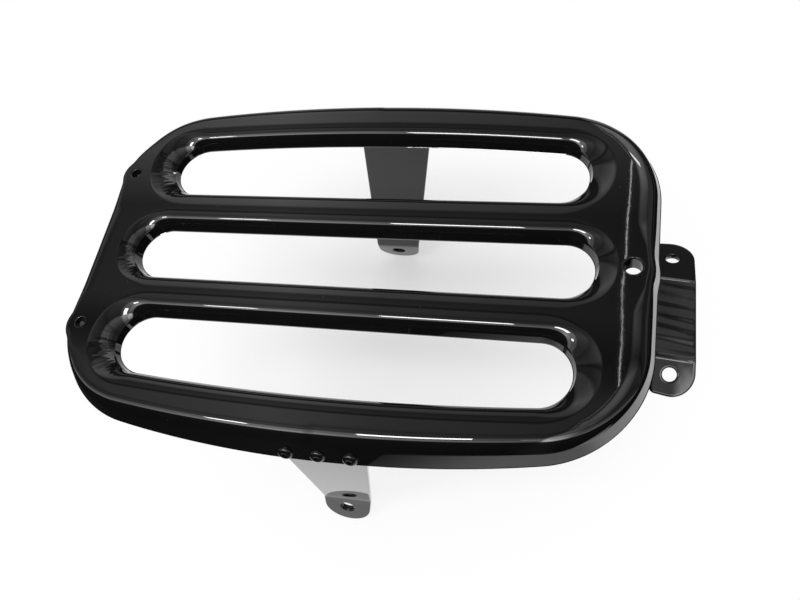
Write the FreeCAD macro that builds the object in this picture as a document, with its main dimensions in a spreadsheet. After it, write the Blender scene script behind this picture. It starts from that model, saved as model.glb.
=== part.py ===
import FreeCAD, Part
import math
import os
import Sketcher

# Rear fender rack for a motorbike: a slotted deck on two side legs and a fender strap.
# Millimetres. +X forward, +Y to the left, +Z up. The origin is the middle of the deck's top plane.

Vector = FreeCAD.Vector
START, END, CENTRE = range(1, 4)
ORIGIN = X_AXIS = -1
Y_AXIS = -1 + X_AXIS
DOWN = Vector(0, 0, -1)
SIDEWAYS = Vector(1, 0, 0)
FRONT_VIEW = FreeCAD.Rotation(Vector(1, 0, 0), Vector(0, 0, 1), Vector(0, -1, 0), "XYZ")
END_VIEW = FreeCAD.Rotation(Vector(0, 1, 0), Vector(0, 0, 1), Vector(1, 0, 0), "XYZ")
RIGHT_SIDE_VIEW = FreeCAD.Rotation(Vector(0, -1, 0), Vector(0, 0, 1), Vector(-1, 0, 0), "XYZ")
SIDES = ((1, "left"), (-1, "right"))

# Driving dimensions in millimetres, angles in degrees
sizes = {
    "deck_length": 296.0,
    "deck_width": 195.4,
    "deck_side_radius": 793.0,
    "deck_corner_radius": 50.0,
    "deck_top": 3.5,
    "deck_wall": 3.5,
    "deck_draft": 18.0,
    "deck_edge_radius": 8.0,
    "skirt_mid_depth": 17.3,
    "skirt_end_depth": 8.5,
    "slot_wall_depth": 8.0,
    "slot_rim_radius": 5.0,
    "dish_depth": 3.5,
    "dish_width": 8.0,
    "dish_shift": 4.4,
    "mid_slot_margin": 23.2,
    "mid_slot_width": 36.0,
    "bar_width": 17.5,
    "side_slot_margin": 29.4,
    "rail_width": 20.3,
    "side_slot_radius": 1263.0,
    "boss_sink": 0.4,
    "end_hole_diameter": 8.4,
    "end_hole_inset": 8.5,
    "end_boss_diameter": 20.4,
    "end_hole_mouth": 1.1,
    "corner_hole_diameter": 5.2,
    "corner_hole_inset": 9.0,
    "corner_hole_spacing": 96.0,
    "corner_boss_diameter": 20.6,
    "leg_thickness": 4.0,
    "leg_centre": 2.5,
    "leg_flange_width": 48.0,
    "leg_flange_top": 6.5,
    "leg_flange_drop": 20.0,
    "leg_flare": 6.0,
    "leg_root_width": 42.0,
    "leg_lean": 4.5,
    "leg_bend_radius": 6.0,
    "leg_seat_clearance": 0.5,
    "foot_centre": -20.9,
    "foot_radius": 14.5,
    "foot_bend_drop": 134.0,
    "foot_hole_drop": 145.0,
    "foot_hole_diameter": 8.6,
    "foot_angle": 15.5,
    "strap_thickness": 3.0,
    "strap_overhang": 23.0,
    "strap_width": 21.5,
    "strap_span": 92.0,
    "strap_flat": 40.0,
    "strap_drop": 41.5,
    "strap_ear_angle": 22.0,
    "strap_ear_bend_radius": 8.0,
    "strap_bend_radius": 5.0,
    "strap_corner_radius": 9.0,
    "strap_hole_diameter": 6.8,
    "strap_hole_spacing": 67.4,
    "strap_hole_inset": 12.2,
    "web_inset": 2.0,
    "web_width": 36.0,
    "web_top_width": 64.0,
    "web_flange_length": 24.0,
    "flange_notch_width": 28.0,
    "strap_post_diameter": 12.0,
    "strap_post_drop": 9.5,
    "strap_screw_inset": 16.0,
    "strap_screw_spacing": 46.0,
    "strap_screw_diameter": 5.0,
    "strap_screw_reach": 6.0,
    "strap_screw_head": 9.5,
    "strap_screw_head_height": 2.75,
    "strap_screw_socket": 3.0,
    "leg_screw_diameter": 4.0,
    "leg_screw_edge": 8.0,
    "leg_screw_drop": 12.6,
    "leg_screw_length": 12.0,
    "leg_screw_head": 7.6,
    "leg_screw_head_height": 2.2,
    "leg_screw_socket": 2.5,
    "leg_screw_spot_depth": 0.35,
    "leg_nut_flats": 7.0,
    "leg_nut_height": 3.2,
    "screw_clearance": 0.3,
    "thread_clearance": 0.05,
}

doc = FreeCAD.newDocument("rear_fender_rack")
sheet = doc.addObject("Spreadsheet::Sheet", "sizes")
for row, (alias, value) in enumerate(sizes.items(), start=1):
    sheet.set("A%d" % row, alias)
    sheet.set("B%d" % row, str(value))
    sheet.setAlias("B%d" % row, alias)
doc.recompute()


def add(kind, name, **bindings):
    """Adds a document object and binds each named property to an expression."""
    item = doc.addObject(kind, name)
    for prop, expression in bindings.items():
        item.setExpression(prop, expression)
    return item


def place(item, x="0", y="0", z="0", axis=Vector(0, 0, 1), angle="0"):
    """Binds an object's position and its turn about one axis to expressions."""
    item.Placement = FreeCAD.Placement(Vector(), FreeCAD.Rotation(axis, 1.0))
    item.setExpression("Placement.Base.x", x)
    item.setExpression("Placement.Base.y", y)
    item.setExpression("Placement.Base.z", z)
    item.setExpression("Placement.Rotation.Angle", angle)
    return item


def cut(name, base, tool):
    item = doc.addObject("Part::Cut", name)
    item.Base = base
    item.Tool = tool
    return item


def fuse(name, *members):
    item = doc.addObject("Part::MultiFuse", name)
    item.Shapes = list(members)
    item.Refine = False
    return item


def common(name, *members):
    item = doc.addObject("Part::MultiCommon", name)
    item.Shapes = list(members)
    return item


def extrude(name, base, direction, length, symmetric=False, taper="0"):
    item = doc.addObject("Part::Extrusion", name)
    item.Base = base
    item.DirMode = "Custom"
    item.Dir = direction
    item.Solid = True
    item.Symmetric = symmetric
    item.setExpression("LengthFwd", length)
    item.setExpression("TaperAngle", taper)
    return item


def cylinder(name, diameter, height):
    return add("Part::Cylinder", name, Radius="(%s) / 2" % diameter, Height=height)


def name_constraint(sketch, constraint, label, expression):
    """Adds a dimension to a sketch, names it and binds it to an expression."""
    index = sketch.addConstraint(constraint)
    sketch.renameConstraint(index, label)
    sketch.setExpression("Constraints." + label, expression)


def arc(centre, radius, first, last):
    """Arc that runs from the angle first to the angle last, in degrees."""
    circle = Part.Circle(Vector(centre[0], centre[1], 0), Vector(0, 0, 1), radius)
    return Part.ArcOfCircle(circle, math.radians(first), math.radians(last))


def line(first, last):
    return Part.LineSegment(Vector(first[0], first[1], 0), Vector(last[0], last[1], 0))


# Deck

def draw_outline(sketch, inset, inset_text):
    """Barrel outline: straight ends, bowed sides and round corners, moved inwards by the inset."""
    half_length = sheet.deck_length / 2 - inset
    half_width = sheet.deck_width / 2 - inset
    side = sheet.deck_side_radius - inset
    corner = sheet.deck_corner_radius - inset
    side_centre = half_width - side
    corner_x = half_length - corner
    corner_y = side_centre + math.sqrt((side - corner) ** 2 - corner_x ** 2)
    lean = math.degrees(math.atan2(corner_y - side_centre, corner_x))
    geometry = [
        line((half_length, -corner_y), (half_length, corner_y)),
        arc((corner_x, corner_y), corner, 0, lean),
        arc((0, side_centre), side, lean, 180 - lean),
        arc((-corner_x, corner_y), corner, 180 - lean, 180),
        line((-half_length, corner_y), (-half_length, -corner_y)),
        arc((-corner_x, -corner_y), corner, 180, 180 + lean),
        arc((0, -side_centre), side, 180 + lean, 360 - lean),
        arc((corner_x, -corner_y), corner, 360 - lean, 360),
    ]
    right, corner_a, top, corner_b, left, corner_c, bottom, corner_d = sketch.addGeometry(geometry, False)
    ring = [right, corner_a, top, corner_b, left, corner_c, bottom, corner_d]
    for here, following in zip(ring, ring[1:] + ring[:1]):
        sketch.addConstraint(Sketcher.Constraint("Tangent", here, END, following, START))
    sketch.addConstraint(Sketcher.Constraint("Vertical", right))
    sketch.addConstraint(Sketcher.Constraint("Vertical", left))
    for other in (corner_b, corner_c, corner_d):
        sketch.addConstraint(Sketcher.Constraint("Equal", corner_a, other))
    sketch.addConstraint(Sketcher.Constraint("Equal", top, bottom))
    for bowed in (top, bottom):
        sketch.addConstraint(Sketcher.Constraint("PointOnObject", bowed, CENTRE, Y_AXIS))
    half_length_text = "sizes.deck_length / 2 - (%s)" % inset_text
    rise_text = "sizes.deck_side_radius - sizes.deck_width / 2"
    rise = sheet.deck_side_radius - sheet.deck_width / 2
    name_constraint(sketch, Sketcher.Constraint("Radius", corner_a, corner), "corner_radius",
                    "sizes.deck_corner_radius - (%s)" % inset_text)
    name_constraint(sketch, Sketcher.Constraint("Radius", top, side), "side_radius",
                    "sizes.deck_side_radius - (%s)" % inset_text)
    name_constraint(sketch, Sketcher.Constraint("DistanceX", ORIGIN, START, right, START, half_length),
                    "front_end", half_length_text)
    name_constraint(sketch, Sketcher.Constraint("DistanceX", left, START, ORIGIN, START, half_length),
                    "rear_end", half_length_text)
    name_constraint(sketch, Sketcher.Constraint("DistanceY", top, CENTRE, ORIGIN, START, rise),
                    "left_side", rise_text)
    name_constraint(sketch, Sketcher.Constraint("DistanceY", ORIGIN, START, bottom, CENTRE, rise),
                    "right_side", rise_text)


def close_slot(sketch, ring, ends, half_length, label, length_text):
    """Joins a slot's two long edges and its four quarter arcs, and sets its two ends."""
    near, front_low, front_high, far, rear_high, rear_low = ring
    for here, following in ((near, front_low), (front_high, far), (far, rear_high), (rear_low, near)):
        sketch.addConstraint(Sketcher.Constraint("Tangent", here, END, following, START))
    for low, high in ends:
        sketch.addConstraint(Sketcher.Constraint("Coincident", low, END, high, START))
        sketch.addConstraint(Sketcher.Constraint("Coincident", low, CENTRE, high, CENTRE))
        sketch.addConstraint(Sketcher.Constraint("Horizontal", low, CENTRE, low, END))
    front = Sketcher.Constraint("DistanceX", ORIGIN, START, front_low, END, half_length)
    name_constraint(sketch, front, label + "_front", length_text)
    rear = Sketcher.Constraint("DistanceX", rear_high, END, ORIGIN, START, half_length)
    name_constraint(sketch, rear, label + "_rear", length_text)


def draw_mid_slot(sketch, grow, grow_text):
    """Straight slot with round ends, each end in two quarter arcs that meet at its tip."""
    half_length = sheet.deck_length / 2 - sheet.mid_slot_margin + grow
    radius = sheet.mid_slot_width / 2 + grow
    reach = half_length - radius
    ring = sketch.addGeometry([
        line((-reach, -radius), (reach, -radius)),
        arc((reach, 0), radius, 270, 360),
        arc((reach, 0), radius, 0, 90),
        line((reach, radius), (-reach, radius)),
        arc((-reach, 0), radius, 90, 180),
        arc((-reach, 0), radius, 180, 270),
    ], False)
    front_low, front_high, rear_high, rear_low = ring[1], ring[2], ring[4], ring[5]
    close_slot(sketch, ring, ((front_low, front_high), (rear_high, rear_low)), half_length, "mid_slot",
               "sizes.deck_length / 2 - sizes.mid_slot_margin + (%s)" % grow_text)
    for tip, label in ((front_low, "mid_slot_front_radius"), (rear_high, "mid_slot_rear_radius")):
        sketch.addConstraint(Sketcher.Constraint("PointOnObject", tip, CENTRE, X_AXIS))
        name_constraint(sketch, Sketcher.Constraint("Radius", tip, radius), label,
                        "sizes.mid_slot_width / 2 + (%s)" % grow_text)


def draw_side_slot(sketch, side, grow, grow_text):
    """Slot beside a bar: straight along the bar, bowed along the rail, on the side +1 or -1."""
    label = "left_slot" if side > 0 else "right_slot"
    half_length = sheet.deck_length / 2 - sheet.side_slot_margin + grow
    inner = sheet.mid_slot_width / 2 + sheet.bar_width - grow
    outer = sheet.deck_width / 2 - sheet.rail_width + grow
    bow = sheet.side_slot_radius + grow
    drop = bow - outer
    linear = 2 * (inner + drop + bow - half_length)
    constant = half_length ** 2 + (inner + drop) ** 2 - bow ** 2
    radius = (math.sqrt(linear ** 2 - 4 * constant) - linear) / 2
    end_x = half_length - radius
    end_y = inner + radius
    lean = math.degrees(math.atan2(end_y + drop, end_x))
    if side > 0:
        shapes = [
            line((-end_x, inner), (end_x, inner)),
            arc((end_x, end_y), radius, 270, 360),
            arc((end_x, end_y), radius, 0, lean),
            arc((0, -drop), bow, lean, 180 - lean),
            arc((-end_x, end_y), radius, 180 - lean, 180),
            arc((-end_x, end_y), radius, 180, 270),
        ]
    else:
        shapes = [
            arc((0, drop), bow, 180 + lean, 360 - lean),
            arc((end_x, -end_y), radius, 360 - lean, 360),
            arc((end_x, -end_y), radius, 0, 90),
            line((end_x, -inner), (-end_x, -inner)),
            arc((-end_x, -end_y), radius, 90, 180),
            arc((-end_x, -end_y), radius, 180, 180 + lean),
        ]
    ring = sketch.addGeometry(shapes, False)
    straight, bowed = (ring[0], ring[3]) if side > 0 else (ring[3], ring[0])
    close_slot(sketch, ring, ((ring[1], ring[2]), (ring[4], ring[5])), half_length, label,
               "sizes.deck_length / 2 - sizes.side_slot_margin + (%s)" % grow_text)
    sketch.addConstraint(Sketcher.Constraint("Horizontal", straight))
    sketch.addConstraint(Sketcher.Constraint("PointOnObject", bowed, CENTRE, Y_AXIS))
    inner_text = "sizes.mid_slot_width / 2 + sizes.bar_width"
    drop_text = "sizes.side_slot_radius + sizes.rail_width - sizes.deck_width / 2"
    name_constraint(sketch, Sketcher.Constraint("Radius", bowed, bow), label + "_bow",
                    "sizes.side_slot_radius + (%s)" % grow_text)
    if side > 0:
        inner_edge = Sketcher.Constraint("DistanceY", ORIGIN, START, straight, START, inner)
        bow_centre = Sketcher.Constraint("DistanceY", bowed, CENTRE, ORIGIN, START, drop)
    else:
        inner_edge = Sketcher.Constraint("DistanceY", straight, START, ORIGIN, START, inner)
        bow_centre = Sketcher.Constraint("DistanceY", ORIGIN, START, bowed, CENTRE, drop)
    name_constraint(sketch, inner_edge, label + "_inner", "%s - (%s)" % (inner_text, grow_text))
    name_constraint(sketch, bow_centre, label + "_centre", drop_text)


def plan_sketch(name, depth_text, inset_text, inset, slots):
    """Plan of the deck at a depth, drawn inwards of the walls' outer faces by the inset."""
    sketch = doc.addObject("Sketcher::SketchObject", name)
    sketch.setExpression("Placement.Base.z", "-(%s)" % depth_text)
    draw_outline(sketch, inset, inset_text)
    if slots:
        draw_mid_slot(sketch, inset, inset_text)
        draw_side_slot(sketch, 1, inset, inset_text)
        draw_side_slot(sketch, -1, inset, inset_text)
    return sketch


def inner_face(depth_text, depth):
    """Inset of the walls' inner faces at a depth, as an expression and as a number."""
    text = "sizes.deck_wall / cos(sizes.deck_draft) - (%s) * tan(sizes.deck_draft)" % depth_text
    draft = math.radians(sheet.deck_draft)
    return text, sheet.deck_wall / math.cos(draft) - depth * math.tan(draft)


blank_plan = plan_sketch("deck_plan", "0", "0", 0.0, True)
deck_blank = extrude("deck_blank", blank_plan, DOWN, "sizes.skirt_mid_depth", taper="sizes.deck_draft")
doc.recompute()


def round_rims(blank):
    """Fillet list: the deck's outer edge and the slot rims."""
    top = max((face for face in blank.Faces if face.BoundBox.ZMin > -0.01), key=lambda face: face.Area)
    rims = []
    for wire in top.Wires:
        radius = sheet.deck_edge_radius if wire.isSame(top.OuterWire) else sheet.slot_rim_radius
        for index, edge in enumerate(blank.Edges, start=1):
            if any(edge.isSame(member) for member in wire.Edges):
                rims.append((index, radius, radius))
    return rims


deck_rounded = doc.addObject("Part::Fillet", "deck_rounded")
deck_rounded.Base = deck_blank
deck_rounded.Edges = round_rims(deck_blank.Shape)

# Dishes in the top at both ends of each slot, and the radius of the side slots' ends
half_side_text = "(sizes.deck_length / 2 - sizes.side_slot_margin)"
side_width_text = "(sizes.deck_width / 2 - sizes.rail_width - sizes.mid_slot_width / 2 - sizes.bar_width)"
bow_span_text = "(2 * sizes.side_slot_radius - %s - %s)" % (side_width_text, half_side_text)
side_end_text = "(sqrt(%s ^ 2 - %s ^ 2 + %s * (2 * sizes.side_slot_radius - %s)) - %s)" % (
    bow_span_text, half_side_text, side_width_text, side_width_text, bow_span_text)
rim_text = "sizes.slot_rim_radius * tan(45 - sizes.deck_draft / 2)"


def dish(name, end, radius, half_length, y):
    """Shallow cone that lowers the top around one end of a slot."""
    top = "%s + %s" % (radius, rim_text)
    cone = add("Part::Cone", name, Radius1="%s - sizes.dish_width" % top, Radius2=top,
               Height="sizes.dish_depth")
    return place(cone, x="%d * (%s - %s + sizes.dish_shift)" % (end, half_length, radius), y=y,
                 z="-sizes.dish_depth")


dishes = []
for end, place_name in ((1, "front"), (-1, "rear")):
    dishes.append(dish("mid_%s_dish" % place_name, end, "sizes.mid_slot_width / 2",
                       "sizes.deck_length / 2 - sizes.mid_slot_margin", "0"))
    for side, name in SIDES:
        dish_y = "%d * (sizes.mid_slot_width / 2 + sizes.bar_width + %s)" % (side, side_end_text)
        dishes.append(dish("%s_%s_dish" % (name, place_name), end, side_end_text, half_side_text, dish_y))
deck_dished = cut("deck_dished", deck_rounded, fuse("dishes", *dishes))

# Hollow underside: a top plate and walls of even thickness, with the slot walls cut off short
cavity_inset_text, cavity_inset = inner_face("sizes.deck_top", sheet.deck_top)
cavity_plan = plan_sketch("cavity_plan", "sizes.deck_top", cavity_inset_text, cavity_inset, True)
cavity = extrude("cavity", cavity_plan, DOWN, "sizes.skirt_mid_depth", taper="sizes.deck_draft")
trim_inset_text, trim_inset = inner_face("sizes.slot_wall_depth", sheet.slot_wall_depth)
trim_plan = plan_sketch("trim_plan", "sizes.slot_wall_depth", trim_inset_text, trim_inset, False)
trim = extrude("trim", trim_plan, DOWN, "sizes.skirt_mid_depth", taper="sizes.deck_draft")
deck_shell = cut("deck_shell", cut("deck_hollow", deck_dished, cavity), trim)


def skirt_bow_sketch():
    """Everything below the skirt's lower edge, which bows down from the ends to the middle."""
    bow = sheet.skirt_mid_depth - sheet.skirt_end_depth
    radius = ((sheet.deck_length / 2) ** 2 + bow ** 2) / (2 * bow)
    bow_text = "(sizes.skirt_mid_depth - sizes.skirt_end_depth)"
    radius_text = "((sizes.deck_length / 2) ^ 2 + %s ^ 2) / (2 * %s)" % (bow_text, bow_text)
    half_span = sheet.deck_length / 2 + sheet.skirt_mid_depth
    low = 2 * sheet.skirt_mid_depth
    height = radius - sheet.skirt_mid_depth
    end = height - math.sqrt(radius ** 2 - half_span ** 2)
    lean = math.degrees(math.asin(half_span / radius))
    sketch = doc.addObject("Sketcher::SketchObject", "skirt_bow")
    sketch.Placement = FreeCAD.Placement(Vector(), FRONT_VIEW)
    curve, fall, floor, climb = sketch.addGeometry([
        arc((0, height), radius, 270 - lean, 270 + lean),
        line((half_span, end), (half_span, -low)),
        line((half_span, -low), (-half_span, -low)),
        line((-half_span, -low), (-half_span, end)),
    ], False)
    ring = [curve, fall, floor, climb]
    for here, following in zip(ring, ring[1:] + ring[:1]):
        sketch.addConstraint(Sketcher.Constraint("Coincident", here, END, following, START))
    sketch.addConstraint(Sketcher.Constraint("Vertical", fall))
    sketch.addConstraint(Sketcher.Constraint("Vertical", climb))
    sketch.addConstraint(Sketcher.Constraint("Horizontal", floor))
    sketch.addConstraint(Sketcher.Constraint("PointOnObject", curve, CENTRE, Y_AXIS))
    span_text = "sizes.deck_length / 2 + sizes.skirt_mid_depth"
    name_constraint(sketch, Sketcher.Constraint("Radius", curve, radius), "bow_radius", radius_text)
    name_constraint(sketch, Sketcher.Constraint("DistanceY", ORIGIN, START, curve, CENTRE, height),
                    "bow_centre", "%s - sizes.skirt_mid_depth" % radius_text)
    name_constraint(sketch, Sketcher.Constraint("DistanceX", ORIGIN, START, fall, START, half_span),
                    "bow_front", span_text)
    name_constraint(sketch, Sketcher.Constraint("DistanceX", climb, START, ORIGIN, START, half_span),
                    "bow_rear", span_text)
    name_constraint(sketch, Sketcher.Constraint("DistanceY", floor, START, ORIGIN, START, low),
                    "bow_low", "2 * sizes.skirt_mid_depth")
    return sketch


below_bow = extrude("below_bow", skirt_bow_sketch(), Vector(0, 1, 0), "2 * sizes.deck_width", symmetric=True)
deck_bowed = cut("deck_bowed", deck_shell, below_bow)


def boss(name, diameter, x, y):
    """Drafted round boss from just below the deck's top plane to the slot walls' depth."""
    low_radius = "%s / 2 + sizes.slot_wall_depth * tan(sizes.deck_draft)" % diameter
    cone = add("Part::Cone", name, Radius1=low_radius, Radius2="%s / 2" % diameter,
               Height="sizes.slot_wall_depth - sizes.boss_sink")
    return place(cone, x=x, y=y, z="-sizes.slot_wall_depth")


end_x = "sizes.deck_length / 2 - sizes.end_hole_inset"
corner_x = "sizes.corner_hole_inset - sizes.deck_length / 2"
post_x = "sizes.deck_length / 2 - sizes.strap_screw_inset"
bosses = [boss("end_boss", "sizes.end_boss_diameter", end_x, "0")]
end_hole = cylinder("end_hole", "sizes.end_hole_diameter", "3 * sizes.slot_wall_depth")
end_mouth = add("Part::Cone", "end_mouth", Radius1="sizes.end_hole_diameter / 2",
                Radius2="sizes.end_hole_diameter / 2 + sizes.end_hole_mouth", Height="sizes.end_hole_mouth")
deck_tools = [
    place(end_hole, x=end_x, z="-2 * sizes.slot_wall_depth"),
    place(end_mouth, x=end_x, z="-sizes.end_hole_mouth"),
]
strap_holes = []
for side, name in SIDES:
    corner_y = "%d * sizes.corner_hole_spacing / 2" % side
    bosses.append(boss(name + "_corner_boss", "sizes.corner_boss_diameter", corner_x, corner_y))
    corner_hole = cylinder(name + "_corner_hole", "sizes.corner_hole_diameter", "3 * sizes.slot_wall_depth")
    deck_tools.append(place(corner_hole, x=corner_x, y=corner_y, z="-2 * sizes.slot_wall_depth"))
    post_y = "%d * sizes.strap_screw_spacing / 2" % side
    post = cylinder(name + "_strap_post", "sizes.strap_post_diameter",
                    "sizes.strap_post_drop - sizes.deck_top / 2")
    bosses.append(place(post, x=post_x, y=post_y, z="-sizes.strap_post_drop"))
    post_hole = cylinder(name + "_post_hole", "sizes.strap_screw_diameter + 2 * sizes.thread_clearance",
                         "sizes.strap_screw_reach + 4 * sizes.thread_clearance")
    deck_tools.append(place(post_hole, x=post_x, y=post_y, z="-sizes.strap_post_drop"))
    strap_hole = cylinder(name + "_flange_hole", "sizes.strap_screw_diameter + 2 * sizes.screw_clearance",
                          "4 * sizes.strap_thickness")
    strap_holes.append(place(strap_hole, x=post_x, y=post_y,
                             z="-sizes.strap_post_drop - 2 * sizes.strap_thickness"))

# Flat seats inside the skirt for the legs, and the holes and spot faces of the leg screws
seat_text = "(sizes.deck_width / 2 - sizes.deck_wall / cos(sizes.deck_draft))"
seat_low = "(sizes.skirt_mid_depth + sizes.deck_wall)"
head_y = ("(sizes.deck_width / 2 + sizes.leg_screw_drop * tan(sizes.deck_draft)"
          " - sizes.leg_screw_spot_depth * cos(sizes.deck_draft))")
head_z = "-sizes.leg_screw_drop - sizes.leg_screw_spot_depth * sin(sizes.deck_draft)"
screw_spacing = "(sizes.leg_flange_width / 2 - sizes.leg_screw_edge)"
screw_x = ["sizes.leg_centre + %d * %s" % (step, screw_spacing) for step in (-1, 0, 1)]


def along_screw(item, side, x, distance):
    """Places a round piece on a leg screw's axis, with its foot that far outwards from the screw's seat."""
    return place(item, x=x, y="%d * (%s + (%s) * cos(sizes.deck_draft))" % (side, head_y, distance),
                 z="%s + (%s) * sin(sizes.deck_draft)" % (head_z, distance),
                 axis=SIDEWAYS, angle="%d * (sizes.deck_draft - 90)" % side)


leg_holes = {}
for side, name in SIDES:
    seat = add("Part::Box", name + "_seat", Length="sizes.leg_flange_width + 2 * sizes.leg_seat_clearance",
               Width="2 * sizes.leg_thickness",
               Height="(%s - sizes.deck_top) / cos(sizes.deck_draft)" % seat_low)
    outwards = "%d * (%s + %s * tan(sizes.deck_draft))" % (side, seat_text, seat_low)
    depth = "(sizes.leg_thickness * (%d + 1))" % side
    place(seat, x="sizes.leg_centre - sizes.leg_flange_width / 2 - sizes.leg_seat_clearance",
          y="%s - %s * cos(sizes.deck_draft)" % (outwards, depth),
          z="-%s - %s * sin(sizes.deck_draft)" % (seat_low, depth),
          axis=SIDEWAYS, angle="%d * sizes.deck_draft" % side)
    deck_tools.append(seat)
    leg_holes[name] = []
    for number, x in enumerate(screw_x, start=1):
        hole = cylinder("%s_screw_hole_%d" % (name, number),
                        "sizes.leg_screw_diameter + 2 * sizes.screw_clearance", "3 * sizes.leg_screw_length")
        spot = cylinder("%s_screw_spot_%d" % (name, number),
                        "sizes.leg_screw_head + 2 * sizes.screw_clearance", "sizes.leg_screw_length")
        along_screw(hole, side, x, "-2 * sizes.leg_screw_length")
        along_screw(spot, side, x, "0")
        deck_tools += [hole, spot]
        leg_holes[name].append(hole)

deck = cut("deck", fuse("deck_bossed", deck_bowed, *bosses), fuse("deck_tools", *deck_tools))


# Bent plates

def bent_plate(name, path, thickness, direction, width, symmetric=True):
    """Plate that follows an open path, thickened to one side of it and given a width."""
    section = doc.addObject("Part::Offset2D", name + "_section")
    section.Source = path
    section.Mode = "Skin"
    section.Join = "Arc"
    section.Fill = True
    section.setExpression("Value", thickness)
    return extrude(name + "_plate", section, direction, width, symmetric=symmetric)


def chain(sketch, members):
    """Joins lines and arcs smoothly. Each member is an index with its first and last point."""
    for (here, first, last), (following, start, finish) in zip(members, members[1:]):
        sketch.addConstraint(Sketcher.Constraint("Tangent", here, last, following, start))


# The leg's outer face, seen along X: its bends' centres and the foot's face, as distances from the middle
bend_one_text = ("(%s + (sizes.leg_flange_drop - sizes.leg_bend_radius * sin(sizes.deck_draft))"
                 " * tan(sizes.deck_draft) - sizes.leg_bend_radius * cos(sizes.deck_draft))" % seat_text)
bend_two_text = ("(%s + 2 * sizes.leg_bend_radius * cos(sizes.leg_lean) - tan(sizes.leg_lean)"
                 " * (sizes.foot_bend_drop - sizes.leg_flange_drop"
                 " - 2 * sizes.leg_bend_radius * sin(sizes.leg_lean)))" % bend_one_text)
foot_face_text = ("(%s - sizes.leg_bend_radius / cos(sizes.foot_angle)"
                  " + (sizes.foot_hole_drop - sizes.foot_bend_drop) * tan(sizes.foot_angle))" % bend_two_text)


def leg_path_sketch():
    """Side view of the leg's outer face: a flange on the skirt's seat, a leaning plate and a foot tab."""
    draft, lean, foot = (math.radians(sheet.get(name)) for name in ("deck_draft", "leg_lean", "foot_angle"))
    bend = sheet.leg_bend_radius
    seat = sheet.deck_width / 2 - sheet.deck_wall / math.cos(draft)
    top, first, second = sheet.leg_flange_top, sheet.leg_flange_drop, sheet.foot_bend_drop
    low = sheet.foot_hole_drop + 2 * sheet.foot_radius
    bend_one = seat + (first - bend * math.sin(draft)) * math.tan(draft) - bend * math.cos(draft)
    run = second - first - 2 * bend * math.sin(lean)
    bend_two = bend_one + 2 * bend * math.cos(lean) - run * math.tan(lean)
    tab_top = (bend_two - bend * math.cos(foot), -second - bend * math.sin(foot))
    sketch = doc.addObject("Sketcher::SketchObject", "leg_path")
    sketch.Placement = FreeCAD.Placement(Vector(), RIGHT_SIDE_VIEW)
    flange, upper, plate, lower, tab = sketch.addGeometry([
        line((seat + top * math.tan(draft), -top),
             (bend_one + bend * math.cos(draft), -first + bend * math.sin(draft))),
        arc((bend_one, -first), bend, -sheet.leg_lean, sheet.deck_draft),
        line((bend_one + bend * math.cos(lean), -first - bend * math.sin(lean)),
             (bend_two - bend * math.cos(lean), -second + bend * math.sin(lean))),
        arc((bend_two, -second), bend, 180 - sheet.leg_lean, 180 + sheet.foot_angle),
        line(tab_top, (tab_top[0] + (low + tab_top[1]) * math.tan(foot), -low)),
    ], False)
    chain(sketch, [(flange, START, END), (upper, END, START), (plate, START, END), (lower, START, END),
                   (tab, START, END)])
    name_constraint(sketch, Sketcher.Constraint("DistanceX", ORIGIN, START, flange, START, seat), "seat",
                    "%s + sizes.leg_flange_top * tan(sizes.deck_draft)" % seat_text)
    name_constraint(sketch, Sketcher.Constraint("DistanceY", flange, START, ORIGIN, START, top), "flange_top",
                    "sizes.leg_flange_top")
    name_constraint(sketch, Sketcher.Constraint("DistanceY", tab, END, ORIGIN, START, low), "tab_low",
                    "sizes.foot_hole_drop + 2 * sizes.foot_radius")
    for index, label, drop in ((upper, "upper", first), (lower, "lower", second)):
        drop_text = "sizes.leg_flange_drop" if index == upper else "sizes.foot_bend_drop"
        name_constraint(sketch, Sketcher.Constraint("Radius", index, bend), label + "_radius",
                        "sizes.leg_bend_radius")
        name_constraint(sketch, Sketcher.Constraint("DistanceY", index, CENTRE, ORIGIN, START, drop),
                        label + "_drop", drop_text)
    for index, label, slope, text in ((flange, "flange_slope", sheet.deck_draft, "sizes.deck_draft"),
                                      (plate, "plate_slope", -sheet.leg_lean, "-sizes.leg_lean"),
                                      (tab, "tab_slope", sheet.foot_angle, "sizes.foot_angle")):
        name_constraint(sketch, Sketcher.Constraint("Angle", index, math.radians(slope - 90)), label,
                        "%s - 90" % text)
    return sketch


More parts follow.
